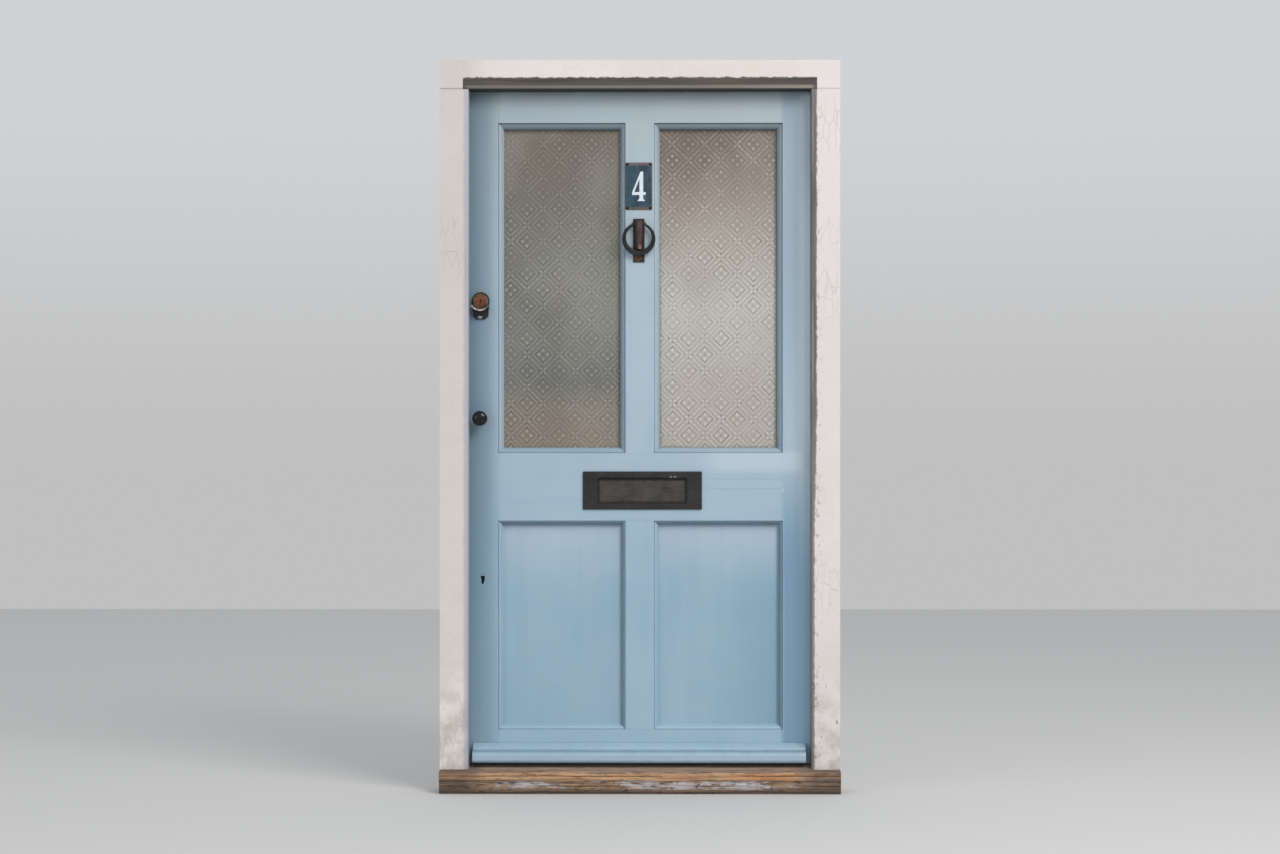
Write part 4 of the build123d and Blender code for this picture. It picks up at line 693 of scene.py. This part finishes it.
    # dark hollows, cracks and ends
    wood = s.mix(s.m("MULTIPLY", s.span(deep, 0.55, 1.0), 0.55), wood, lin(72, 60, 52))
    hole = s.m("MULTIPLY", s.m("MULTIPLY", s.span(s.noise(s.scaled(30, 95, 95, (0.9, 0.2, 0.6)), 1.0, 4.0, 0.66), 0.565, 0.61), front), s.span(zb, 0.040, 0.030, 0.30, 1.0))
    wood = s.mix(s.m("MULTIPLY", hole, 0.75), wood, lin(58, 46, 40))
    wood = s.mix(s.m("MULTIPLY", crack, 0.85), wood, lin(48, 36, 30))
    ends = s.m("MULTIPLY", s.span(s.m("ABSOLUTE", x), 0.395, 0.455), s.span(patch, 0.35, 0.6, 0.45, 0.8))
    wood = s.mix(ends, wood, lin(84, 70, 60))
    relief = s.m("ADD", s.m("MULTIPLY", grain, 0.9), s.m("MULTIPLY", fleck, 0.35))
    s.set(Base_Color=wood, Roughness=s.m("SUBTRACT", 0.85, s.m("MULTIPLY", remain, 0.2)), Normal=s.bump(relief, 0.0016, 0.8))
    return s.mat


MAT = {
    "blue_z": blue_paint("blue_paint_upright", "z"),
    "blue_x": blue_paint("blue_paint_level", "x"),
    "bead_z": blue_paint("blue_bead_upright", "z", moulded=True),
    "bead_x": blue_paint("blue_bead_level", "x", moulded=True),
    "frame_z": frame_paint("frame_paint_upright", "z"),
    "frame_x": frame_paint("frame_paint_level", "x"),
    "oak": weathered_oak(),
    "glass": etched_glass(),
    "iron": black_iron("black_iron", lin(38, 38, 40), lin(58, 57, 58)),
    "plate": letter_iron(),
    "flap": black_iron("flap_iron", lin(50, 48, 46), lin(74, 72, 67), rough=(0.34, 0.50), wear=0.12, brushed=True),
    "ring": black_iron("ring_iron", lin(12, 18, 24), lin(34, 37, 39), rough=(0.30, 0.46), wear=0.35),
    "backplate": plate_iron(),
    "pull": pull_iron(),
    "knob": black_iron("knob_iron", lin(9, 9, 12), lin(17, 16, 20), rough=(0.13, 0.20), wear=0.08),
    "rust": rusty_iron(),
    "rust_bolt": rusty_bolt(),
    "steel": metal("dull_steel", lin(120, 116, 112), lin(156, 150, 144), (0.38, 0.55)),
    "hinge": metal("hinge_steel", lin(108, 104, 100), lin(140, 134, 126), (0.42, 0.6)),
    "screw_dark": metal("dark_screw", lin(20, 22, 24), lin(40, 40, 40), (0.45, 0.6), 0.5),
    "brass": aged_brass(),
    "face": cylinder_face(),
    "lock": lock_paint(),
    "enamel": enamel(),
    "white": numeral_enamel(),
}


def dress(node, key):
    o = nodes[node]
    o.data.materials.clear()
    o.data.materials.append(MAT[key])


for n in ("lock_stile", "hinge_stile", "upper_muntin", "lower_muntin", "panel_left", "panel_right"):
    dress(n, "blue_z")
for n in ("top_rail", "lock_rail", "bottom_rail", "weather_bar"):
    dress(n, "blue_x")
for n in ("beads_upper_left", "beads_upper_right", "beads_lower_left", "beads_lower_right"):
    dress(n, "bead_x")
dress("head", "frame_x")
for n in ("jamb_lock_side", "jamb_hinge_side"):
    dress(n, "frame_z")
dress("sill", "oak")
for n in ("glass_left", "glass_right"):
    dress(n, "glass")
dress("letterplate", "plate")
dress("letterplate_flap", "flap")
dress("knocker_plate", "backplate")
dress("knocker_ring", "ring")
dress("cylinder_pull", "pull")
dress("pull_knob", "knob")
dress("knocker_tongue", "rust")
dress("knocker_bolts", "rust_bolt")
for n in ("flap_rod", "letterplate_bolts", "cylinder_bolts", "latch_screws", "knob_bolt", "forend_screws", "keep_screws"):
    dress(n, "steel")
dress("deadlock_case", "screw_dark")
for n in ("hinge_frame_screws", "hinge_door_screws", "hinge_frame_leaves", "hinge_door_leaves", "hinge_pins"):
    dress(n, "hinge")
dress("plaque_screws", "screw_dark")
for n in ("lock_cylinder", "cylinder_plug"):
    dress(n, "face")
for n in ("latch_bolt", "deadbolt", "deadlock_forend", "deadlock_keep"):
    dress(n, "brass")
for n in ("latch_case", "latch_turn", "latch_snib", "latch_keep"):
    dress(n, "lock")
dress("number_plaque", "enamel")


# ================================================================ soft arrises on the timber
def soften(node, width, segments=2):
    """Hand-worn arrises: the worn edge is part of the member's surface, its faces stay where they are."""
    o = nodes[node]
    w = o.modifiers.new("weld", "WELD")
    w.merge_threshold = 0.00001
    bv = o.modifiers.new("arris", "BEVEL")
    bv.width = width
    bv.segments = segments
    bv.limit_method = "ANGLE"
    bv.angle_limit = math.radians(40)
    bv.use_clamp_overlap = True
    bv.harden_normals = True
    bv.miter_outer = "MITER_ARC"


for n in ("lock_stile", "hinge_stile", "upper_muntin", "lower_muntin", "top_rail", "bottom_rail"):
    soften(n, 0.0007)
for n in ("head", "jamb_lock_side", "jamb_hinge_side"):
    soften(n, 0.0007)
soften("weather_bar", 0.0006)


# ================================================================ meshes of their own
def make(name, verts, faces, body, mats, replaces=(), smooth=True, face_mat=None, attrs=None):
    me = bpy.data.meshes.new(name)
    me.from_pydata(verts, [], faces)
    me.validate()
    for m in mats:
        me.materials.append(MAT[m])
    if face_mat:
        me.polygons.foreach_set("material_index", face_mat)
    me.polygons.foreach_set("use_smooth", [smooth] * len(me.polygons))
    for key, vals in (attrs or {}).items():
        at = me.attributes.new(key, "FLOAT", "POINT")
        at.data.foreach_set("value", vals)
    me.update()
    o = bpy.data.objects.new(name, me)
    scene.collection.objects.link(o)
    if replaces:
        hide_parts(*replaces)
    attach(o, body)
    return o


def n3(x, y=0.0, z=0.0):
    return noise.noise(Vector((x, y, z)))


def smooth01(t):
    t = min(1.0, max(0.0, t))
    return t * t * (3 - 2 * t)


# ---------------------------------------------------------------- glazing beads and panel mouldings
# section from the opening's edge inwards: distance from the edge, depth (mm)
SUNK_BEAD = [(0.12, 28.0), (0.12, 9.6), (0.35, 8.6), (0.9, 8.0), (1.8, 7.7), (3.0, 7.7), (4.2, 8.1), (5.8, 9.2), (7.4, 10.8),
             (8.9, 12.7), (10.2, 14.8), (11.2, 17.0), (12.0, 19.2), (12.5, 21.4), (12.6, 22.6), (13.2, 22.9), (13.8, 23.4), (14.0, 24.2), (14.0, 28.0)]
OVOLO = [(0.12, 24.0), (0.12, 8.6), (0.35, 7.7), (0.9, 7.1), (1.7, 6.9), (3.0, 6.9), (3.6, 7.2), (3.8, 8.6), (4.4, 8.7), (5.7, 9.3), (7.2, 10.6),
         (8.5, 12.4), (9.6, 14.6), (10.4, 17.0), (10.9, 19.0), (11.0, 20.2), (11.7, 20.35), (12.8, 20.6), (13.6, 21.1), (14.0, 22.0), (14.0, 24.0)]


def hump(d, at, half):
    t = min(1.0, abs(d - at) / half)
    return (1 - t * t) ** 2


def coat_tone(section, which, d):
    """How much painted shade and how much painted light the coat holds at a distance from the opening's edge (mm)."""
    if section is SUNK_BEAD:
        if which == "top":
            return max(0.95 * hump(d, 3.0, 5.0), 0.35, 0.80 * smooth01((d - 10.5) / 3.0)), 0.0
        if which == "right":
            return max(0.70 * hump(d, 2.5, 6.0), 0.50, 0.70 * smooth01((d - 9.0) / 4.0)), 0.0
        if which == "bottom":
            return max(0.42 * hump(d, 4.0, 6.0), 0.22), 0.0
        return 0.08, 0.35 * hump(d, 0.0, 5.0)
    if which in ("top", "right"):
        k = 1.0 if which == "top" else 0.9
        return k * max(0.40, hump(d, 7.0, 8.0), 0.55 * smooth01((d - 10.0) / 3.0)), 0.0
    if which == "bottom":
        return 0.10 * hump(d, 9.0, 6.0), 0.45 * hump(d, 0.0, 4.0)
    return 0.0, 0.55 * hump(d, 0.0, 5.0)


def moulding(name, side, z_span, section, replaces, seed):
    """Four mitred lengths of one moulding, planted round an opening of the leaf."""
    xa, xb = OPEN_X[side]
    za, zb = z_span
    verts, faces, mats, grime_and_painted_shade, wear_and_painted_light = [], [], [], [], []
    k = len(section)
    for which in ("bottom", "right", "top", "left"):
        level = which in ("bottom", "top")
        length = (xb - xa) if level else (zb - za)
        n = max(12, int(length / 0.012))
        base = len(verts)
        for i in range(n + 1):
            t = i / n
            for j, (d, yy) in enumerate(section):
                d, yy = d * MM, yy * MM
                s0, s1 = d + 0.00006, length - d - 0.00006
                run = s0 + (s1 - s0) * t
                held = min(1.0, min(run, length - run) / 0.03)
                front = 1.0 if 0 < j < k - 1 else 0.0
                wob = n3(run * 9 + seed, j * 0.13, seed * 1.7) * 0.00016 + n3(run * 42 + seed, j * 0.31, 4.1) * 0.00006
                yy2 = yy + wob * front * held
                dd = d + (n3(run * 7 + seed, 3.3, seed) * 0.00012 * held if 5 < j < k - 2 else 0.0)
                if which == "bottom":
                    p = (xa + run, yy2, za + dd)
                elif which == "top":
                    p = (xb - run, yy2, zb - dd)
                elif which == "right":
                    p = (xb - dd, yy2, za + run)
                else:
                    p = (xa + dd, yy2, zb - run)
                verts.append(p)
                g, w = coat_tone(section, which, section[j][0])
                grime_and_painted_shade.append(g)
                wear_and_painted_light.append(w)
        for i in range(n):
            for j in range(k):
                a0 = base + i * k + j
                a1 = base + i * k + (j + 1) % k
                b0, b1 = a0 + k, a1 + k
                faces.append((a0, b0, b1, a1))
                mats.append(1 if level else 0)
        faces.append(tuple(base + j for j in range(k)))
        mats.append(1 if level else 0)
        faces.append(tuple(base + n * k + j for j in range(k - 1, -1, -1)))
        mats.append(1 if level else 0)
    o = make(name, verts, faces, "leaf", ("bead_z", "bead_x"), replaces, True, mats, {"grime_and_painted_shade": grime_and_painted_shade, "wear_and_painted_light": wear_and_painted_light})
    me = o.data
    me.set_sharp_from_angle(angle=math.radians(38))
    return o


moulding("glazing_bead_left", "left", UP_Z, SUNK_BEAD, ("beads_upper_left",), 1.0)
moulding("glazing_bead_right", "right", UP_Z, SUNK_BEAD, ("beads_upper_right",), 7.0)
moulding("panel_moulding_left", "left", LOW_Z, OVOLO, ("beads_lower_left",), 13.0)
moulding("panel_moulding_right", "right", LOW_Z, OVOLO, ("beads_lower_right",), 19.0)


# ---------------------------------------------------------------- weather bar: slope, hollow, rounded nose
BAR = [(3.0, 125.0), (0.6, 125.0), (-0.8, 124.9), (-1.8, 124.6), (-2.6, 124.1), (-6.5, 122.1), (-11.0, 119.6), (-15.0, 117.1), (-17.8, 114.9), (-19.4, 112.9),
       (-20.3, 110.8), (-21.2, 108.8), (-22.8, 107.4), (-25.2, 106.6), (-28.0, 106.2), (-30.8, 105.5), (-33.4, 104.1), (-35.6, 101.9), (-37.1, 98.9),
       (-37.9, 95.3), (-38.0, 91.6), (-37.6, 90.6), (-37.6, 89.9), (-38.0, 88.9), (-37.7, 84.6), (-36.9, 80.4), (-35.9, 77.2), (-35.0, 76.0), (-27.0, 76.0),
       (-27.0, 79.0), (-23.0, 79.0), (-23.0, 76.0), (3.0, 76.0)]


# painted shade along the joint with the leaf, under the bar, at its foot and in its hollow; painted light on the nose
def bar_tone(yy, zz):
    if yy > -0.5:
        return 0.60, 0.0
    if zz < 76.5 or yy > -20.0 and zz < 100:
        return 0.95, 0.0
    foot = smooth01((81.5 - zz) / 3.5)
    hollow = hump(zz, 106.6, 7.2) * smooth01((-15.0 - yy) / 4.0)
    nose = smooth01((100.5 - zz) / 5.0) * smooth01((zz - 80.0) / 4.0)
    groove = hump(zz, 90.2, 1.3)
    return max(0.95 * foot, 0.55 * hollow, 0.12 * groove, 0.25 * smooth01((-2.6 - yy) / -2.0), 0.08), 0.62 * nose * (1 - 0.25 * groove)


def build_bar():
    xa, xb, cols, k = -0.436, 0.432, 124, len(BAR)
    verts, faces, grime_and_painted_shade, wear_and_painted_light = [], [], [], []
    for i in range(cols + 1):
        x = xa + (xb - xa) * i / cols
        end = min(1.0, min(x - xa, xb - x) / 0.004)
        for j, (yy, zz) in enumerate(BAR):
            free = 1.0 if 3 < j < k - 6 else 0.0
            dy = (n3(x * 11, j * 0.21, 71.0) * 0.00022 + n3(x * 60, j * 0.5, 73.0) * 0.00008) * free
            dz = n3(x * 9, j * 0.17, 77.0) * 0.00018 * free
            inset = 0.0008 * (1 - end) if 1 < j < k - 2 else 0.0
            verts.append((x, yy * MM + dy + inset, zz * MM + dz))
            g, w = bar_tone(yy, zz)
            grime_and_painted_shade.append(g)
            wear_and_painted_light.append(w)
    for i in range(cols):
        for j in range(k):
            a0, a1 = i * k + j, i * k + (j + 1) % k
            faces.append((a0, a0 + k, a1 + k, a1))
    faces.append(tuple(range(k)))
    faces.append(tuple(cols * k + j for j in range(k - 1, -1, -1)))
    o = make("moulded_weather_bar", verts, faces, "leaf", ("bead_x",), ("weather_bar",), True, None, {"grime_and_painted_shade": grime_and_painted_shade, "wear_and_painted_light": wear_and_painted_light})
    o.data.set_sharp_from_angle(angle=math.radians(40))
    return o


build_bar()


# ---------------------------------------------------------------- cast knob with a domed face
def lathe(name, cx, cz, profile, body, mat, replaces, seg=80, rough=0.0, seed=0.0):
    """A turned piece about an axis along Y: profile of (radius, y) in mm from the back to the tip."""
    verts, faces = [], []
    k = len(profile)
    for i in range(seg):
        a = 2 * math.pi * i / seg
        for r, yy in profile:
            w = rough * n3(math.cos(a) * 1.7 + seed, math.sin(a) * 1.7, yy * 0.13)
            rr = max(0.0, r + (w if r > 0.3 else 0.0)) * MM
            verts.append((cx + rr * math.cos(a), yy * MM, cz + rr * math.sin(a)))
    for i in range(seg):
        for j in range(k - 1):
            a0, b0 = i * k + j, ((i + 1) % seg) * k + j
            faces.append((a0, a0 + 1, b0 + 1, b0))
    back, tip = len(verts), len(verts) + 1
    verts.append((cx, profile[0][1] * MM, cz))
    verts.append((cx, profile[-1][1] * MM - 0.00002, cz))
    for i in range(seg):
        a0, b0 = i * k, ((i + 1) % seg) * k
        faces.append((back, a0, b0))
        faces.append((tip, b0 + k - 1, a0 + k - 1))
    o = make(name, verts, faces, body, (mat,), replaces)
    o.data.set_sharp_from_angle(angle=math.radians(42))
    return o


KNOB = [(17.5, 3.0), (17.5, 1.6), (17.2, 0.9), (16.4, 0.1), (14.2, -1.6), (11.6, -3.2), (9.6, -4.5), (8.9, -6.0), (8.5, -9.0), (8.3, -13.0), (8.9, -17.0), (10.8, -20.4),
        (13.6, -23.4), (16.4, -26.6), (18.5, -30.0), (19.45, -33.4), (19.5, -35.6), (19.1, -37.8), (18.0, -40.0), (16.2, -42.0), (13.8, -43.7), (11.0, -45.0),
        (8.0, -45.9), (5.0, -46.5), (2.2, -46.8), (0.8, -46.9)]
lathe("domed_knob", -0.417, LEAF_Z + 0.901, KNOB, "leaf", "knob", ("pull_knob",), rough=0.10, seed=5.0)


# ---------------------------------------------------------------- lever pack inside the dead lock, dark, standing in for the shade seen through the keyhole
def keyhole_shade_levers():
    verts, faces = [], []
    cx, z0, z1 = -0.412, 0.5315, 0.5612
    for n, (ya, yb, dx, dz) in enumerate(((0.0222, 0.0234, 0.0, 0.0), (0.0240, 0.0252, 0.0004, -0.0006), (0.0258, 0.0270, -0.0003, -0.0003))):
        ring = []
        xa, xb, za, zb, r = cx - 0.0105 + dx, cx + 0.0105 + dx, z0, z1 + dz, 0.003
        for ox, oz, a0 in ((xb - r, zb - r, 0), (xa + r, zb - r, 90), (xa + r, za + r, 180), (xb - r, za + r, 270)):
            for s in range(5):
                a = math.radians(a0 + 22.5 * s)
                ring.append((ox + r * math.cos(a), oz + r * math.sin(a)))
        base, m = len(verts), len(ring)
        for yy in (ya, yb):
            verts.extend((x, yy, z) for x, z in ring)
        faces.append(tuple(base + i for i in range(m)))
        faces.append(tuple(base + m + i for i in range(m - 1, -1, -1)))
        for i in range(m):
            j = (i + 1) % m
            faces.append((base + j, base + i, base + m + i, base + m + j))
    return make("keyhole_shade_levers", verts, faces, "leaf", ("screw_dark",), (), False)


keyhole_shade_levers()


# ---------------------------------------------------------------- the weathered sill
def sill_section():
    """Closed section (y, z, kind) in metres: inner top, slope, nose, front, underside, back."""
    pts = []
    for i in range(5):
        pts.append((0.048 - 0.012 * i, 0.068, "inner"))
    slope = math.atan2(0.012, 0.080)
    n = 30
    r = 0.005
    # tangent points of the rounded nose
    ty = r * math.tan((math.pi / 2 - slope) / 2)
    end = (-0.080 + ty * math.cos(slope), 0.056 + ty * math.sin(slope))
    for i in range(n + 1):
        t = i / n
        pts.append((end[0] * t, 0.068 + (end[1] - 0.068) * t, "slope"))
    cy, cz = -0.080 + r, 0.056 - ty
    for i in range(1, 6):
        ang = math.pi / 2 + slope + (math.pi / 2 - slope) * i / 6
        pts.append((cy + r * math.cos(ang), cz + r * math.sin(ang), "nose"))
    m = 52
    for i in range(m + 1):
        pts.append((-0.080, cz * (1 - i / m), "front"))
    for yy, zz in ((-0.077, 0), (-0.074, 0), (-0.071, 0), (-0.068, 0), (-0.068, 0.004), (-0.062, 0.004), (-0.062, 0), (-0.04, 0), (0.0, 0), (0.048, 0),
                   (0.048, 0.022), (0.048, 0.045)):
        pts.append((yy, zz, "under"))
    return pts


def sill_wear(x, z):
    """Depth of decay on the front face (m), and how far a point lies in a crack."""
    zw = z + 0.0028 * n3(x * 9.0, 2.2, 0.4) + 0.0012 * n3(x * 31.0, 5.0, 1.0)
    grain = 1.0 - abs(n3(x * 4.2, zw * 210.0, 7.7))
    fine = n3(x * 26.0, zw * 420.0, 3.1)
    d = 0.0003 + 0.0011 * grain * grain + 0.00025 * fine
    lower = smooth01((0.0355 - zw) / 0.0035)
    body = 0.5 + 0.5 * n3(x * 6.5, zw * 46.0, 11.0)
    chunk = 0.5 + 0.5 * n3(x * 21.0, zw * 95.0, 17.0)
    d += lower * (0.0022 + 0.0030 * body + 0.0016 * chunk)
    foot = smooth01((0.0085 - zw) / 0.0075)
    d += foot * (0.0020 + 0.0026 * (0.5 + 0.5 * n3(x * 13.0, 0.3, 23.0)))
    crack = 0.0
    for at, half, depth, seed, need in ((0.0470, 0.0009, 0.0032, 31.0, -0.25), (0.0405, 0.0007, 0.0022, 37.0, 0.0), (0.0350, 0.0008, 0.0026, 41.0, -0.1), (0.0205, 0.0009, 0.0024, 43.0, 0.0)):
        line = at + 0.0017 * n3(x * 6.0, seed, 0.0) + 0.0005 * n3(x * 40.0, seed, 5.0)
        gate = smooth01((n3(x * 3.4, seed, 9.0) - need) / 0.22)
        c = max(0.0, 1.0 - abs(z - line) / (half * 1.5)) * gate
        if c > 0:
            d += depth * c
            crack = max(crack, c)
    ends = smooth01((abs(x) - 0.40) / 0.06)
    d += ends * 0.0012 * (0.6 + 0.4 * chunk)
    return min(d, 0.0095), crack


def build_sill():
    sec = sill_section()
    k = len(sec)
    cols = 420
    verts, faces, depth, cracks = [], [], [], []
    for i in range(cols + 1):
        x = -0.520 + 1.040 * i / cols
        toe, _ = sill_wear(x, 0.0)
        lip, _ = sill_wear(x, sec[[p[2] for p in sec].index("front")][1])
        for yy, zz, kind in sec:
            d = c = 0.0
            p = (x, yy, zz)
            if kind == "front":
                d, c = sill_wear(x, zz)
                rag = 0.0
                p = (x, yy + d, zz + rag)
            elif kind == "nose":
                # blend from the slope to the worn face
                f = (0.056 - zz) / 0.006
                f = smooth01(f)
                d = lip * f
                dent = 0.0009 * max(0.0, n3(x * 17.0, zz * 60.0, 51.0))
                p = (x, yy + d + dent, zz - dent * 0.8 - 0.0003 * (1 - f))
            elif kind == "slope":
                free = smooth01((0.443 - abs(x)) / 0.006) if yy > -0.052 else 1.0
                open_part = smooth01((-0.004 - yy) / 0.01)
                g = 1.0 - abs(n3(x * 4.0, yy * 190.0, 61.0))
                d = (0.0002 + 0.0009 * g * g + 0.0004 * (0.5 + 0.5 * n3(x * 30.0, yy * 60.0, 67.0))) * free * open_part
                c = max(0.0, g - 0.93) / 0.07 * 0.6 * free * open_part
                p = (x, yy, zz - d)
            elif kind == "under" and yy < -0.0679 and zz < 0.001:
                f = max(0.0, min(1.0, (-0.068 - yy) / 0.012))
                p = (x, yy + toe * f * 0.98, zz)
            verts.append(p)
            depth.append(min(1.0, max(0.0, (d - 0.0012) / 0.0070)) if kind in ("front", "nose") else 0.0)
            cracks.append(c)
    for i in range(cols):
        for j in range(k):
            a0 = i * k + j
            a1 = i * k + (j + 1) % k
            faces.append((a0, a0 + k, a1 + k, a1))
    faces.append(tuple(range(k)))
    faces.append(tuple(cols * k + j for j in range(k - 1, -1, -1)))
    o = make("weathered_sill", verts, faces, "frame", ("oak",), ("sill",), True, None, {"depth": depth, "crack": cracks})
    o.data.set_sharp_from_angle(angle=math.radians(50))
    return o


build_sill()


# ---------------------------------------------------------------- plain numeral on the plaque
def numeral():
    cx, cz, yf = -0.003, LEAF_Z + 1.509, 0.0008
    outer = [(-3.0, -38.5), (15.6, -38.5), (15.6, -36.4), (12.4, -35.0), (11.2, -32.6), (11.0, -22.6), (17.4, -22.8), (17.8, -15.6), (11.0, -15.4),
             (11.0, 38.0), (6.4, 38.5), (4.2, 37.2), (-16.6, -14.0), (-17.6, -17.0), (-17.6, -22.8), (1.6, -22.6), (1.4, -32.6), (0.2, -35.0), (-3.0, -36.4)]
    inner = [(1.8, -15.4), (1.8, 20.0), (-12.2, -15.4)]
    cu = bpy.data.curves.new("plain_numeral", "CURVE")
    cu.dimensions = "2D"
    cu.fill_mode = "BOTH"
    cu.extrude = 0.00016
    cu.bevel_depth = 0.00022
    cu.bevel_resolution = 2
    for ring in (outer, inner):
        sp = cu.splines.new("POLY")
        sp.points.add(len(ring) - 1)
        for p, (u, v) in zip(sp.points, ring):
            p.co = (u * MM, v * MM, 0, 1)
        sp.use_cyclic_u = True
    tmp = bpy.data.objects.new("plain_numeral_curve", cu)
    scene.collection.objects.link(tmp)
    dg = bpy.context.evaluated_depsgraph_get()
    me = bpy.data.meshes.new_from_object(tmp.evaluated_get(dg))
    bpy.data.objects.remove(tmp)
    bpy.data.curves.remove(cu)
    me.name = "plain_numeral"
    # curve plane to the door's face: u to +X, v to +Z, thickness to -Y
    m = Matrix(((1, 0, 0, cx), (0, 0, -1, yf), (0, 1, 0, cz), (0, 0, 0, 1)))
    me.transform(m)
    me.materials.clear()
    me.materials.append(MAT["white"])
    o = bpy.data.objects.new("plain_numeral", me)
    scene.collection.objects.link(o)
    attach(o, "leaf")
    return o


numeral()

# ================================================================ floor, light, camera
floor = bpy.data.meshes.new("floor")
floor.from_pydata([(-9, -9, 0), (9, -9, 0), (9, 9, 0), (-9, 9, 0)], [], [(0, 1, 2, 3)])
floor_o = bpy.data.objects.new("floor", floor)
scene.collection.objects.link(floor_o)
fs = Shader("floor_pale")
fs.set(Base_Color=lin(206, 206, 205), Roughness=0.9)
floor.materials.append(fs.mat)

world = bpy.data.worlds.new("studio")
scene.world = world
world.use_nodes = True
bg = world.node_tree.nodes["Background"]
bg.inputs["Color"].default_value = (0.955, 0.972, 1.0, 1.0)
bg.inputs["Strength"].default_value = 0.66
# the sky of the studio meets the floor in the floor's own tone
wt = world.node_tree
direction = wt.nodes.new("ShaderNodeTexCoord")
split = wt.nodes.new("ShaderNodeSeparateXYZ")
rise = wt.nodes.new("ShaderNodeMapRange")
rise.interpolation_type = "SMOOTHSTEP"
rise.inputs["From Min"].default_value = 0.0
rise.inputs["From Max"].default_value = 0.16
blend = wt.nodes.new("ShaderNodeMix")
blend.data_type = "RGBA"
wt.links.new(direction.outputs["Generated"], split.inputs[0])
wt.links.new(split.outputs[2], rise.inputs["Value"])
wt.links.new(rise.outputs["Result"], blend.inputs[0])
blend.inputs[6].default_value = (0.80, 0.80, 0.80, 1.0)
blend.inputs[7].default_value = (0.955, 0.972, 1.0, 1.0)
wt.links.new(blend.outputs[2], bg.inputs["Color"])


def area(name, loc, target, size, watts, colour):
    d = bpy.data.lights.new(name, "AREA")
    d.shape = "RECTANGLE"
    d.size, d.size_y = size
    d.energy = watts
    d.color = colour
    o = bpy.data.objects.new(name, d)
    scene.collection.objects.link(o)
    o.location = loc
    o.rotation_mode = "QUATERNION"
    o.rotation_quaternion = (Vector(target) - Vector(loc)).to_track_quat("-Z", "Y")
    return o


area("key", (2.6, -4.05, 4.6), (0, 0, 0.95), (2.6, 2.6), 192, (1.0, 0.97, 0.93))
area("fill", (-4.5, -4.5, 2.2), (0, 0, 0.95), (4.0, 3.0), 30, (0.90, 0.95, 1.0))

cam_d = bpy.data.cameras.new("camera")
cam = bpy.data.objects.new("camera", cam_d)
scene.collection.objects.link(cam)
cam_d.sensor_width = 36.0
cam_d.lens = 69.8
cam_d.shift_y = 0.0402
cam.location = (0.0536, -6.491, 0.8166)
cam.rotation_euler = (math.radians(90), 0, math.radians(0.473))
cam_d.clip_start, cam_d.clip_end = 0.05, 100
scene.camera = cam

scene.view_settings.view_transform = "Standard"
scene.view_settings.look = "None"
